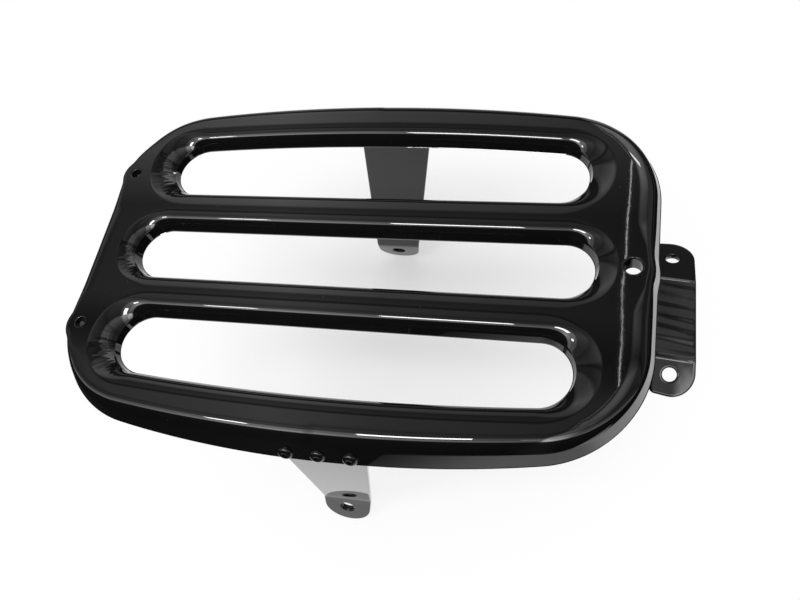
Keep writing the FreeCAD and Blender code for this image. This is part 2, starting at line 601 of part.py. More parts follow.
def leg_outline_sketch():
    """Front view of the leg: a wide flange, a flare under the skirt, straight sides and a round foot."""
    centre, half_flange, half_root = sheet.leg_centre, sheet.leg_flange_width / 2, sheet.leg_root_width / 2
    flange_low = sheet.skirt_mid_depth
    root = flange_low + sheet.leg_flare
    foot_x, foot_z, radius = sheet.foot_centre, -sheet.foot_hole_drop, sheet.foot_radius
    tangents = {}
    for side in (1, -1):
        span_x = centre + side * half_root - foot_x
        span_z = -root - foot_z
        reach = math.hypot(span_x, span_z)
        turn = math.atan2(span_z, span_x) - side * math.acos(radius / reach)
        tangents[side] = math.degrees(turn)
    touch = {side: (foot_x + radius * math.cos(math.radians(turn)),
                    foot_z + radius * math.sin(math.radians(turn))) for side, turn in tangents.items()}
    sketch = doc.addObject("Sketcher::SketchObject", "leg_outline")
    sketch.Placement = FreeCAD.Placement(Vector(), FRONT_VIEW)
    corner = {side: (centre + side * half_flange, -flange_low) for side in (1, -1)}
    shoulder = {side: (centre + side * half_root, -root) for side in (1, -1)}
    top, fall, front_flare, front, toe, rear, rear_flare, climb = sketch.addGeometry([
        line((centre - half_flange, 0), (centre + half_flange, 0)),
        line((centre + half_flange, 0), corner[1]),
        line(corner[1], shoulder[1]),
        line(shoulder[1], touch[1]),
        arc((foot_x, foot_z), radius, tangents[-1], tangents[1] + 360),
        line(touch[-1], shoulder[-1]),
        line(shoulder[-1], corner[-1]),
        line(corner[-1], (centre - half_flange, 0)),
    ], False)
    for here, following in ((top, fall), (fall, front_flare), (front_flare, front), (rear, rear_flare),
                            (rear_flare, climb), (climb, top)):
        sketch.addConstraint(Sketcher.Constraint("Coincident", here, END, following, START))
    sketch.addConstraint(Sketcher.Constraint("Tangent", front, END, toe, END))
    sketch.addConstraint(Sketcher.Constraint("Tangent", toe, START, rear, START))
    sketch.addConstraint(Sketcher.Constraint("PointOnObject", top, START, X_AXIS))
    sketch.addConstraint(Sketcher.Constraint("PointOnObject", top, END, X_AXIS))
    sketch.addConstraint(Sketcher.Constraint("Vertical", fall))
    sketch.addConstraint(Sketcher.Constraint("Vertical", climb))
    name_constraint(sketch, Sketcher.Constraint("Radius", toe, radius), "foot_radius", "sizes.foot_radius")
    name_constraint(sketch, Sketcher.Constraint("DistanceX", ORIGIN, START, toe, CENTRE, foot_x), "foot_x",
                    "sizes.foot_centre")
    name_constraint(sketch, Sketcher.Constraint("DistanceY", toe, CENTRE, ORIGIN, START, -foot_z), "foot_z",
                    "sizes.foot_hole_drop")
    for flare, first, last, half, label, sign in ((front_flare, START, END, half_root, "front", "+"),
                                                  (rear_flare, END, START, half_root, "rear", "-")):
        side = 1 if sign == "+" else -1
        flange_x = Sketcher.Constraint("DistanceX", ORIGIN, START, flare, first, corner[side][0])
        name_constraint(sketch, flange_x, label + "_flange",
                        "sizes.leg_centre %s sizes.leg_flange_width / 2" % sign)
        name_constraint(sketch, Sketcher.Constraint("DistanceY", flare, first, ORIGIN, START, flange_low),
                        label + "_flange_low", "sizes.skirt_mid_depth")
        root_x = Sketcher.Constraint("DistanceX", ORIGIN, START, flare, last, shoulder[side][0])
        name_constraint(sketch, root_x, label + "_root",
                        "sizes.leg_centre %s sizes.leg_root_width / 2" % sign)
        name_constraint(sketch, Sketcher.Constraint("DistanceY", flare, last, ORIGIN, START, root),
                        label + "_root_low", "sizes.skirt_mid_depth + sizes.leg_flare")
    return sketch


leg_plate = bent_plate("leg", leg_path_sketch(), "-sizes.leg_thickness", Vector(1, 0, 0),
                       "2 * (sizes.leg_flange_width + sizes.foot_radius + abs(sizes.foot_centre))")
leg_face = extrude("leg_face", leg_outline_sketch(), Vector(0, -1, 0), "sizes.deck_width")
foot_hole = cylinder("foot_hole", "sizes.foot_hole_diameter", "6 * sizes.leg_thickness")
place(foot_hole, x="sizes.foot_centre",
      y="-%s + 3 * sizes.leg_thickness * cos(sizes.foot_angle)" % foot_face_text,
      z="-sizes.foot_hole_drop - 3 * sizes.leg_thickness * sin(sizes.foot_angle)",
      axis=SIDEWAYS, angle="90 - sizes.foot_angle")
right_leg = cut("right_leg", common("leg_blank", leg_plate, leg_face),
                fuse("leg_tools", foot_hole, *leg_holes["right"]))
left_leg = doc.addObject("Part::Mirroring", "left_leg")
left_leg.Source = right_leg
left_leg.Normal = Vector(0, 1, 0)


# Fender strap

reach_text = "(sizes.deck_length / 2 + sizes.strap_overhang)"


def strap_web_path():
    """Side view of the strap's web: a flange under the deck, a drop and the strap's flat top."""
    web = sheet.deck_length / 2 - sheet.web_inset
    top, drop = sheet.strap_post_drop, sheet.strap_drop
    reach = sheet.deck_length / 2 + sheet.strap_overhang
    outer = sheet.strap_bend_radius
    inner = outer - sheet.strap_thickness
    start = web - sheet.web_flange_length
    sketch = doc.addObject("Sketcher::SketchObject", "strap_web_path")
    sketch.Placement = FreeCAD.Placement(Vector(), FRONT_VIEW)
    flange, upper, web_line, lower, flat = sketch.addGeometry([
        line((start, -top), (web - outer, -top)),
        arc((web - outer, -top - outer), outer, 0, 90),
        line((web, -top - outer), (web, -drop + inner)),
        arc((web + inner, -drop + inner), inner, 180, 270),
        line((web + inner, -drop), (reach, -drop)),
    ], False)
    chain(sketch, [(flange, START, END), (upper, END, START), (web_line, START, END), (lower, START, END),
                   (flat, START, END)])
    sketch.addConstraint(Sketcher.Constraint("Horizontal", flange))
    sketch.addConstraint(Sketcher.Constraint("Vertical", web_line))
    sketch.addConstraint(Sketcher.Constraint("Horizontal", flat))
    name_constraint(sketch, Sketcher.Constraint("Radius", upper, outer), "upper_bend",
                    "sizes.strap_bend_radius")
    name_constraint(sketch, Sketcher.Constraint("Radius", lower, inner), "lower_bend",
                    "sizes.strap_bend_radius - sizes.strap_thickness")
    name_constraint(sketch, Sketcher.Constraint("DistanceX", ORIGIN, START, web_line, START, web), "web",
                    "sizes.deck_length / 2 - sizes.web_inset")
    name_constraint(sketch, Sketcher.Constraint("DistanceX", ORIGIN, START, flange, START, start),
                    "flange_end", "sizes.deck_length / 2 - sizes.web_inset - sizes.web_flange_length")
    name_constraint(sketch, Sketcher.Constraint("DistanceX", ORIGIN, START, flat, END, reach), "reach",
                    reach_text)
    name_constraint(sketch, Sketcher.Constraint("DistanceY", flange, START, ORIGIN, START, top),
                    "flange_drop", "sizes.strap_post_drop")
    name_constraint(sketch, Sketcher.Constraint("DistanceY", flat, START, ORIGIN, START, drop), "drop",
                    "sizes.strap_drop")
    return sketch


def strap_arch_path():
    """End view of the strap: flat in the middle, with an ear that turns down on each side."""
    half_flat, half_span = sheet.strap_flat / 2, sheet.strap_span / 2
    radius, drop = sheet.strap_ear_bend_radius, sheet.strap_drop
    ear = math.radians(sheet.strap_ear_angle)
    turn_y = half_flat + radius * math.sin(ear)
    turn_z = -drop - radius * (1 - math.cos(ear))
    end_z = turn_z - (half_span - turn_y) * math.tan(ear)
    sketch = doc.addObject("Sketcher::SketchObject", "strap_arch_path")
    sketch.Placement = FreeCAD.Placement(Vector(), END_VIEW)
    right_ear, right_bend, flat, left_bend, left_ear = sketch.addGeometry([
        line((-half_span, end_z), (-turn_y, turn_z)),
        arc((-half_flat, -drop - radius), radius, 90, 90 + sheet.strap_ear_angle),
        line((-half_flat, -drop), (half_flat, -drop)),
        arc((half_flat, -drop - radius), radius, 90 - sheet.strap_ear_angle, 90),
        line((turn_y, turn_z), (half_span, end_z)),
    ], False)
    chain(sketch, [(right_ear, START, END), (right_bend, END, START), (flat, START, END),
                   (left_bend, END, START), (left_ear, START, END)])
    sketch.addConstraint(Sketcher.Constraint("Horizontal", flat))
    name_constraint(sketch, Sketcher.Constraint("DistanceY", flat, START, ORIGIN, START, drop), "drop",
                    "sizes.strap_drop")
    for label, bend_arc, ear_line, tip, sign in (("right", right_bend, right_ear, START, 1),
                                                 ("left", left_bend, left_ear, END, -1)):
        centre = (bend_arc, CENTRE, ORIGIN, START) if sign > 0 else (ORIGIN, START, bend_arc, CENTRE)
        end = (ear_line, tip, ORIGIN, START) if sign > 0 else (ORIGIN, START, ear_line, tip)
        name_constraint(sketch, Sketcher.Constraint("Radius", bend_arc, radius), label + "_bend",
                        "sizes.strap_ear_bend_radius")
        name_constraint(sketch, Sketcher.Constraint("DistanceX", *centre, half_flat), label + "_flat",
                        "sizes.strap_flat / 2")
        name_constraint(sketch, Sketcher.Constraint("DistanceX", *end, half_span), label + "_end",
                        "sizes.strap_span / 2")
        name_constraint(sketch, Sketcher.Constraint("Angle", ear_line, sign * ear), label + "_slope",
                        "%d * sizes.strap_ear_angle" % sign)
    return sketch


web_plate = bent_plate("web", strap_web_path(), "-sizes.strap_thickness", Vector(0, 1, 0),
                       "sizes.web_top_width")
arch_plate = bent_plate("arch", strap_arch_path(), "sizes.strap_thickness", Vector(1, 0, 0),
                        "sizes.strap_width", symmetric=False)
place(arch_plate, x="%s - sizes.strap_width" % reach_text)
web_tools = list(strap_holes)
notch = add("Part::Box", "flange_notch", Length="sizes.web_flange_length", Width="sizes.flange_notch_width",
            Height="4 * sizes.strap_thickness")
place(notch, x="sizes.deck_length / 2 - sizes.web_inset - sizes.strap_bend_radius - sizes.web_flange_length",
      y="-sizes.flange_notch_width / 2", z="-sizes.strap_post_drop - 2 * sizes.strap_thickness")
web_tools.append(notch)
ear_tools = []
for side, name in SIDES:
    shoulder = add("Part::Box", name + "_web_side", Length=reach_text, Width="sizes.web_top_width",
                   Height="sizes.strap_drop")
    place(shoulder, x="sizes.deck_length / 4",
          y="%d * sizes.web_width / 2 + (%d - 1) / 2 * sizes.web_top_width" % (side, side),
          z="-sizes.strap_post_drop - sizes.strap_bend_radius - sizes.strap_thickness - sizes.strap_drop")
    web_tools.append(shoulder)
    ear_hole = cylinder(name + "_ear_hole", "sizes.strap_hole_diameter", "6 * sizes.strap_thickness")
    hole_y = "sizes.strap_hole_spacing / 2"
    hole_z = ("(sizes.strap_drop + sizes.strap_ear_bend_radius * (1 - cos(sizes.strap_ear_angle))"
              " + tan(sizes.strap_ear_angle) * (%s - sizes.strap_flat / 2"
              " - sizes.strap_ear_bend_radius * sin(sizes.strap_ear_angle)))" % hole_y)
    place(ear_hole, x="%s - sizes.strap_hole_inset" % reach_text,
          y="%d * (%s - 3 * sizes.strap_thickness * sin(sizes.strap_ear_angle))" % (side, hole_y),
          z="-%s - 3 * sizes.strap_thickness * cos(sizes.strap_ear_angle)" % hole_z,
          axis=SIDEWAYS, angle="%d * sizes.strap_ear_angle" % -side)
    ear_tools.append(ear_hole)
doc.recompute()


def upright_corners(shape):
    """The arch's four short edges, at the corners of its ears."""
    ends = []
    for index, edge in enumerate(shape.Edges, start=1):
        nearest = min(abs(vertex.Y) for vertex in edge.Vertexes)
        at_end = nearest > sheet.strap_span / 2 - 2 * sheet.strap_thickness
        short = abs(edge.Length - sheet.strap_thickness) < 0.01
        if edge.BoundBox.XLength < 0.01 and at_end and short:
            ends.append(index)
    return ends


arch_rounded = doc.addObject("Part::Fillet", "arch_rounded")
arch_rounded.Base = arch_plate
arch_rounded.Edges = [(index, sheet.strap_corner_radius, sheet.strap_corner_radius)
                      for index in upright_corners(arch_plate.Shape)]
arch = cut("arch", arch_rounded, fuse("ear_tools", *ear_tools))
web = cut("web", web_plate, fuse("web_tools", *web_tools))
fender_strap = fuse("fender_strap", arch, web)


# Fasteners

def button_screw(name, diameter, length, head, head_height, socket):
    """Button head screw with a hexagon socket. Its seat is at the origin and its head points up."""
    cap = add("Part::Cone", name + "_cap", Radius1="%s / 2" % head, Radius2="%s * 0.3" % head,
              Height=head_height)
    shank = cylinder(name + "_shank", diameter, length)
    place(shank, z="-(%s)" % length)
    hexagon = add("Part::Prism", name + "_socket", Circumradius="%s / 2 / cos(30)" % socket,
                  Height=head_height)
    hexagon.Polygon = 6
    place(hexagon, z="%s * 0.4" % head_height)
    return cut(name, fuse(name + "_body", cap, shank), hexagon)


def hexagon_nut(name, diameter, flats, height):
    blank = add("Part::Prism", name + "_blank", Circumradius="%s / 2 / cos(30)" % flats, Height=height)
    blank.Polygon = 6
    return cut(name, blank, cylinder(name + "_bore", "%s + 2 * sizes.thread_clearance" % diameter, height))


pieces = [deck, right_leg, left_leg, fender_strap]
for side, name in SIDES:
    for number, x in enumerate(screw_x, start=1):
        screw = button_screw("%s_leg_screw_%d" % (name, number), "sizes.leg_screw_diameter",
                             "sizes.leg_screw_length", "sizes.leg_screw_head", "sizes.leg_screw_head_height",
                             "sizes.leg_screw_socket")
        nut = hexagon_nut("%s_leg_nut_%d" % (name, number), "sizes.leg_screw_diameter", "sizes.leg_nut_flats",
                          "sizes.leg_nut_height")
        along_screw(screw, side, x, "0")
        along_screw(nut, side, x, "sizes.leg_screw_spot_depth - sizes.deck_wall - sizes.leg_thickness"
                                  " - sizes.leg_nut_height")
        pieces += [screw, nut]
for number, side in ((1, 1), (2, -1)):
    screw = button_screw("strap_screw_%d" % number, "sizes.strap_screw_diameter",
                         "sizes.strap_screw_reach + sizes.strap_thickness", "sizes.strap_screw_head",
                         "sizes.strap_screw_head_height", "sizes.strap_screw_socket")
    place(screw, x=post_x, y="%d * sizes.strap_screw_spacing / 2" % side,
          z="-sizes.strap_post_drop - sizes.strap_thickness", axis=SIDEWAYS, angle="180")
    pieces.append(screw)
doc.recompute()

for item in doc.Objects:
    if "Invalid" in item.State or "Error" in item.State:
        raise RuntimeError("failed object: " + item.Name)
for piece in pieces:
    piece.Label = piece.Name
    if piece.Shape.isNull() or not piece.Shape.isValid() or len(piece.Shape.Solids) != 1:
        raise RuntimeError("bad solid: " + piece.Label)

os.makedirs("parts", exist_ok=True)
for piece in pieces:
    piece.Shape.exportStep("parts/%s.step" % piece.Label)
    box = piece.Shape.BoundBox
    print("%-20s %9.0f mm3  x %.1f to %.1f  y %.1f to %.1f  z %.1f to %.1f" % (
        piece.Label, piece.Shape.Volume, box.XMin, box.XMax, box.YMin, box.YMax, box.ZMin, box.ZMax))
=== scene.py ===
import math
import bmesh
import bpy
import numpy as np
from mathutils import Matrix
from mathutils.geometry import delaunay_2d_cdt


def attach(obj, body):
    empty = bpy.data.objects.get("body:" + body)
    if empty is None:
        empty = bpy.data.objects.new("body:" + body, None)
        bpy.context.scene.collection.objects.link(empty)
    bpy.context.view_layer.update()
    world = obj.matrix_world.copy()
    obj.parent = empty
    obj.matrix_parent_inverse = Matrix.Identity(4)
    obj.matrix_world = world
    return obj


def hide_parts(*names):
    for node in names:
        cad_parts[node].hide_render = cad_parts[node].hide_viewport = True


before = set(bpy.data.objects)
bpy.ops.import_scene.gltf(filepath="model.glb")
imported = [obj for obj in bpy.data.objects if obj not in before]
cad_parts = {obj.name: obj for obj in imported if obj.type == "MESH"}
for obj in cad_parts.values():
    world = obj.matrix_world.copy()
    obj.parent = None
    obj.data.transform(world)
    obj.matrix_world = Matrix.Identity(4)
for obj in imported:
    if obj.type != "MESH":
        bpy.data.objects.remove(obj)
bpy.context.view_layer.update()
print("frame loaded:", len(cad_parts), "nodes")

mm = 0.001  # the shapes below are written in millimetres
turn = 2 * math.pi


# closed outlines: lines and arcs in order, each arc as (centre, radius, first angle, last angle) in degrees
def tracePath(segments, spacing):
    points, normals = [], []
    for seg in segments:
        if seg[0] == "line":
            a, b = np.array(seg[1], float), np.array(seg[2], float)
            length = np.hypot(*(b - a))
            count = max(2, int(length / spacing))
            t = np.arange(count) / count
            way = (b - a) / length
            points.append(a + np.outer(t, b - a))
            normals.append(np.tile([way[1], -way[0]], (len(t), 1)))
        else:
            centre, radius = np.array(seg[1], float), seg[2]
            first, last = math.radians(seg[3]), math.radians(seg[4])
            count = max(8, int(abs(last - first) * radius / spacing), int(abs(last - first) / math.radians(1.5)))
            angle = first + (last - first) * np.arange(count) / count
            ray = np.stack([np.cos(angle), np.sin(angle)], 1)
            points.append(centre + radius * ray)
            normals.append(ray * np.sign(last - first))
    return np.concatenate(points), np.concatenate(normals)


def ringNormals(points):  # right hand side of travel on a closed ring, from the difference of its neighbours
    way = np.roll(points, -1, 0) - np.roll(points, 1, 0)
    way /= np.linalg.norm(way, axis=1, keepdims=True)
    return np.stack([way[:, 1], -way[:, 0]], 1)


def circleRing(centre, radius, count, inwards=True):  # a hole's ring; its normals point away from the metal
    angle = turn * np.arange(count) / count
    ray = np.stack([np.cos(angle), np.sin(angle)], 1)
    return np.asarray(centre, float) + radius * ray, -ray if inwards else ray


class MeshParts:  # gathers grids and fills as whole arrays, then makes one mesh of them
    def __init__(self):
        self.points, self.faces, self.count = [], [], 0

    def grid(self, surface, closed=True, flip=False):
        rows, cols = surface.shape[:2]
        index = np.arange(rows * cols).reshape(rows, cols) + self.count
        a = index if closed else index[:-1]
        b = np.roll(index, -1, 0) if closed else index[1:]
        quad = np.stack([a[:, :-1], b[:, :-1], b[:, 1:], a[:, 1:]], -1).reshape(-1, 4)
        self.faces.append(quad[:, ::-1] if flip else quad)
        self.points.append(surface.reshape(-1, 3))
        self.count += rows * cols

    def fill(self, points, triangles, flip=False):
        tri = np.asarray(triangles) + self.count
        self.faces.append(tri[:, ::-1] if flip else tri)
        self.points.append(points)
        self.count += len(points)

    def build(self, name, merge=2e-6, sharp=40):
        points = np.concatenate(self.points) * mm
        faces = [face for block in self.faces for face in block.tolist()]
        mesh = bpy.data.meshes.new(name)
        mesh.from_pydata(points, [], faces)
        work = bmesh.new()
        work.from_mesh(mesh)
        bmesh.ops.remove_doubles(work, verts=work.verts, dist=merge)
        bmesh.ops.dissolve_degenerate(work, edges=work.edges, dist=1e-7)
        bmesh.ops.recalc_face_normals(work, faces=work.faces)
        work.to_mesh(mesh)
        work.free()
        mesh.shade_smooth()
        mesh.set_sharp_from_angle(angle=math.radians(sharp))
        piece = bpy.data.objects.new(name, mesh)
        bpy.context.scene.collection.objects.link(piece)
        return piece


# flat region between an outer ring and the holes in it: constrained triangles, without those inside a hole
def fillBetween(rings, extra=None):
    loose = [] if extra is None else [extra]
    flat = np.concatenate(rings + loose)
    owner = np.concatenate([np.full(len(ring), i) for i, ring in enumerate(rings)]
                           + [np.full(len(block), -1) for block in loose])
    starts = np.cumsum([0] + [len(ring) for ring in rings])
    edges = [(int(starts[i] + k), int(starts[i] + (k + 1) % len(ring)))
             for i, ring in enumerate(rings) for k in range(len(ring))]
    verts, _, faces, source, _, _ = delaunay_2d_cdt([tuple(p) for p in flat], edges, [], 1, 1e-5)
    out = np.array([tuple(v) for v in verts])
    ownerOut = np.array([owner[s[0]] if len(s) else -1 for s in source])
    tri = np.array(faces)
    own = ownerOut[tri]
    hole = (own[:, 0] > 0) & (own[:, 0] == own[:, 1]) & (own[:, 1] == own[:, 2])
    tri = tri[~hole]
    a, b, c = out[tri[:, 0]], out[tri[:, 1]], out[tri[:, 2]]
    area = (b[:, 0] - a[:, 0]) * (c[:, 1] - a[:, 1]) - (b[:, 1] - a[:, 1]) * (c[:, 0] - a[:, 0])
    tri[area < 0] = tri[area < 0][:, ::-1]
    return out, tri


def lift(points, height):
    return np.column_stack([points, np.full(len(points), height)])


# deck
deckShape = dict(
    length=296.0, width=195.4, sideRadius=793.0, cornerRadius=50.0, draft=18.0,
    topPlate=3.5, wall=3.5, roofRound=1.4, guard=0.3,
    edgeRound=8.0, endRound=5.0, endSpread=(1.6, 0.5), cornerEdge=6.5,
    skirtMid=17.3, skirtEnd=8.5, skirtFront=10.5, skirtPower=2.4,
    midSlot=(249.6, 36.0), bar=17.5, sideSlot=(237.2, 41.9), sideBow=1263.0, slotDepth=9.4,
    rimRound=5.0, dishReach=4.4, dishSlope=(12.0, 30.0), lipRound=0.9, crown=4.7, crownSlope=8.0,
    edgeCrown=4.0, slotRoom=9.6, holeRoom=13.0, holeSlope=0.33,  # shoulder of the outer edge, and its clearances
    wideDish=(3.6, 2.0), frontTrim=0.5, rearTrim=2.2, trimFrom=90.0, trimOver=58.0,
    ripple=0.08, rippleSide=(0.5, 0.9),
    rippleWaves=((47, 1.0, 0.0), (71, 0.7, 1.3), (29, 0.5, 0.4)),  # each as (count, height, phase)
    endHole=(139.2, 0.0), endHoleBore=8.4, endBoss=17.7, endBlend=2.2, cornerHole=(-138.6, 47.8), cornerBore=5.2,
    cornerBoss=21.4, bossBlend=0.8, bossWall=3.2, bossEdge=3.6, bossReach=20.0, bossFade=10.0, mouthRound=0.8,
    post=(132.0, 23.0), postSize=(12.0, 5.4), postDrop=9.5, bevel=0.4, spacing=2.2,
)


def outerRing(d):  # barrel outline, pushed out where a boss's circle stands proud of it
    side, corner = d["sideRadius"], d["cornerRadius"]
    centreY = d["width"] / 2 - side
    cx = d["length"] / 2 - corner
    cy = centreY + math.sqrt((side - corner) ** 2 - cx ** 2)
    lean = math.degrees(math.atan2(cy - centreY, cx))
    end = d["length"] / 2
    points, normals = tracePath([
        ("line", (end, -cy), (end, cy)),
        ("arc", (cx, cy), corner, 0, lean),
        ("arc", (0, centreY), side, lean, 180 - lean),
        ("arc", (-cx, cy), corner, 180 - lean, 180),
        ("line", (-end, cy), (-end, -cy)),
        ("arc", (-cx, -cy), corner, 180, 180 + lean),
        ("arc", (0, -centreY), side, 180 + lean, 360 - lean),
        ("arc", (cx, -cy), corner, 360 - lean, 360),
    ], d["spacing"])
    push = np.zeros(len(points))
    x, y = d["cornerHole"]
    corner = d["cornerBoss"] / 2
    for centre, radius, blend in ((d["endHole"], d["endBoss"] / 2, d["endBlend"]),
                                  ((x, y), corner, d["bossBlend"]), ((x, -y), corner, d["bossBlend"])):
        away = np.array(centre) - points
        along = (away * normals).sum(1)
        across = np.sqrt(np.maximum((away ** 2).sum(1) - along ** 2, 0))
        reach = along + np.sqrt(np.maximum(radius ** 2 - across ** 2, 0)) - np.maximum(across - radius, 0)
        push = np.maximum(push, 0.5 * (reach + np.hypot(reach, blend)))  # soft maximum with zero
    points = points + normals * push[:, None]
    share = np.clip((np.abs(points[:, 0]) - d["trimFrom"]) / d["trimOver"], 0, 1)  # smooth step towards both ends
    trim = np.where(points[:, 0] > 0, -d["frontTrim"], d["rearTrim"])
    points[:, 0] += trim * share ** 2 * (3 - 2 * share)
    return points, ringNormals(points)


def slotRings(d):  # ring and dish share of each slot; the dish is full at a tip and gone at the straight sides
    rings = []
    half, radius = d["midSlot"][0] / 2, d["midSlot"][1] / 2
    reach = half - radius
    mid = [("line", (reach, -radius), (-reach, -radius)), ("arc", (-reach, 0), radius, 270, 90),
           ("line", (-reach, radius), (reach, radius)), ("arc", (reach, 0), radius, 90, -90)]
    rings.append((tracePath(mid, d["spacing"]), reach))
    inner = radius + d["bar"]
    bow, half = d["sideBow"], d["sideSlot"][0] / 2
    drop = bow - inner - d["sideSlot"][1]
    linear = 2 * (inner + drop + bow - half)
    constant = half ** 2 + (inner + drop) ** 2 - bow ** 2
    end = (math.sqrt(linear ** 2 - 4 * constant) - linear) / 2
    ex, ey = half - end, inner + end
    lean = math.degrees(math.atan2(ey + drop, ex))
    for side in (1, -1):
        ring = [("line", (ex, side * inner), (-ex, side * inner)),
                ("arc", (-ex, side * ey), end, side * -90, side * (-180 - lean)),
                ("arc", (0, -side * drop), bow, side * (180 - lean), side * lean),
                ("arc", (ex, side * ey), end, side * lean, side * -90)]
        points, normals = tracePath(ring, d["spacing"])
        if side < 0:
            points, normals = points[::-1], -normals[::-1]
        rings.append(((points, normals), ex))
    return rings


def wallSection(d, depth, dish, edge, crown, reach=0.0):
    # half section of a rim, outwards and down: guard, crowned shoulder, round to the drafted wall, wall, lip,
    # inner wall and roof
    draft = math.radians(d["draft"])
    slope, lip, one = math.tan(draft), d["lipRound"], np.ones((len(dish), 1))
    tilt = math.radians(d["crownSlope"]) * crown / d["crown"]
    drop = crown * np.tan(tilt) / 2
    first = np.radians(d["dishSlope"][0]) * dish + tilt * (1 - dish)
    last = (math.pi / 2 - draft) * (1 - dish) + np.radians(d["dishSlope"][1]) * dish
    width = edge * math.tan((math.pi / 2 - draft) / 2) + reach * dish
    radius = (width + drop * slope) / (np.sin(last) - np.sin(first) + (np.cos(last) - np.cos(first)) * slope)
    theta = first[:, None] + (last - first)[:, None] * np.linspace(0, 1, 13)
    roundOut = radius[:, None] * (np.sin(theta) - np.sin(first)[:, None]) - width[:, None]
    roundDown = radius[:, None] * (np.cos(theta) - np.cos(first)[:, None]) - drop[:, None]
    share = np.linspace(0, 1, 6)[:-1]  # along the shoulder, whose slope grows evenly from the crest
    wall = -roundDown[:, -1:] + (depth - lip + roundDown[:, -1])[:, None] * np.linspace(0.12, 1, 4)
    turnIn = np.linspace(0, math.pi / 2, 10)[1:]
    low = depth[:, None]
    thick, top, soft = d["wall"] / math.cos(draft), d["topPlate"], d["roofRound"]
    guard = d["guard"] * np.array([1, 0.5])
    out = [-(width + crown)[:, None] - guard, (crown[:, None] * (share - 1)) - width[:, None], roundOut,
           wall * slope, low * slope - lip * (1 - np.sin(turnIn + math.pi / 2)),
           low * slope - thick + lip * (1 - np.cos(turnIn[::-1])),
           one * np.array([(top + soft) * slope - thick, (top + 0.3 * soft) * slope - thick - 0.25 * soft,
                           top * slope - thick - soft, top * slope - thick - soft - 0.5])]
    down = [one * np.zeros(2), -drop[:, None] * share ** 2, roundDown, -wall,
            -low + lip * (1 - np.sin(turnIn)), -low + lip * (1 - np.sin(turnIn[::-1])),
            -one * np.array([top + soft, top + 0.3 * soft, top, top])]
    return np.concatenate(out, 1), np.concatenate(down, 1)


def dishRipple(d, ring, dish, end):  # faint fan of press marks across a dish: waves by angle, strongest mid dish
    angle = np.arctan2(ring[:, 1] - end[1], np.abs(ring[:, 0]) - end[0])
    waves = sum(height * np.sin(count * angle + phase) for count, height, phase in d["rippleWaves"])
    middle, slope = d["rippleSide"]
    lower = np.clip(middle - slope * np.sin(angle), 0, 1)  # stronger on one side
    return d["ripple"] * waves * dish * lower * (ring[:, 0] < 0)


def sweepWall(points, normals, out, down):  # carries the half section along the ring
    plan = points[:, None, :] + normals[:, None, :] * out[:, :, None]
    return np.concatenate([plan, down[:, :, None]], 2)


def skirtDepth(d, x):  # deepest in the middle; the lower edge rises by a power of the distance along the deck
    end = np.where(x > 0, d["skirtFront"], d["skirtEnd"])
    return d["skirtMid"] - (d["skirtMid"] - end) * np.abs(x / (d["length"] / 2)) ** d["skirtPower"]


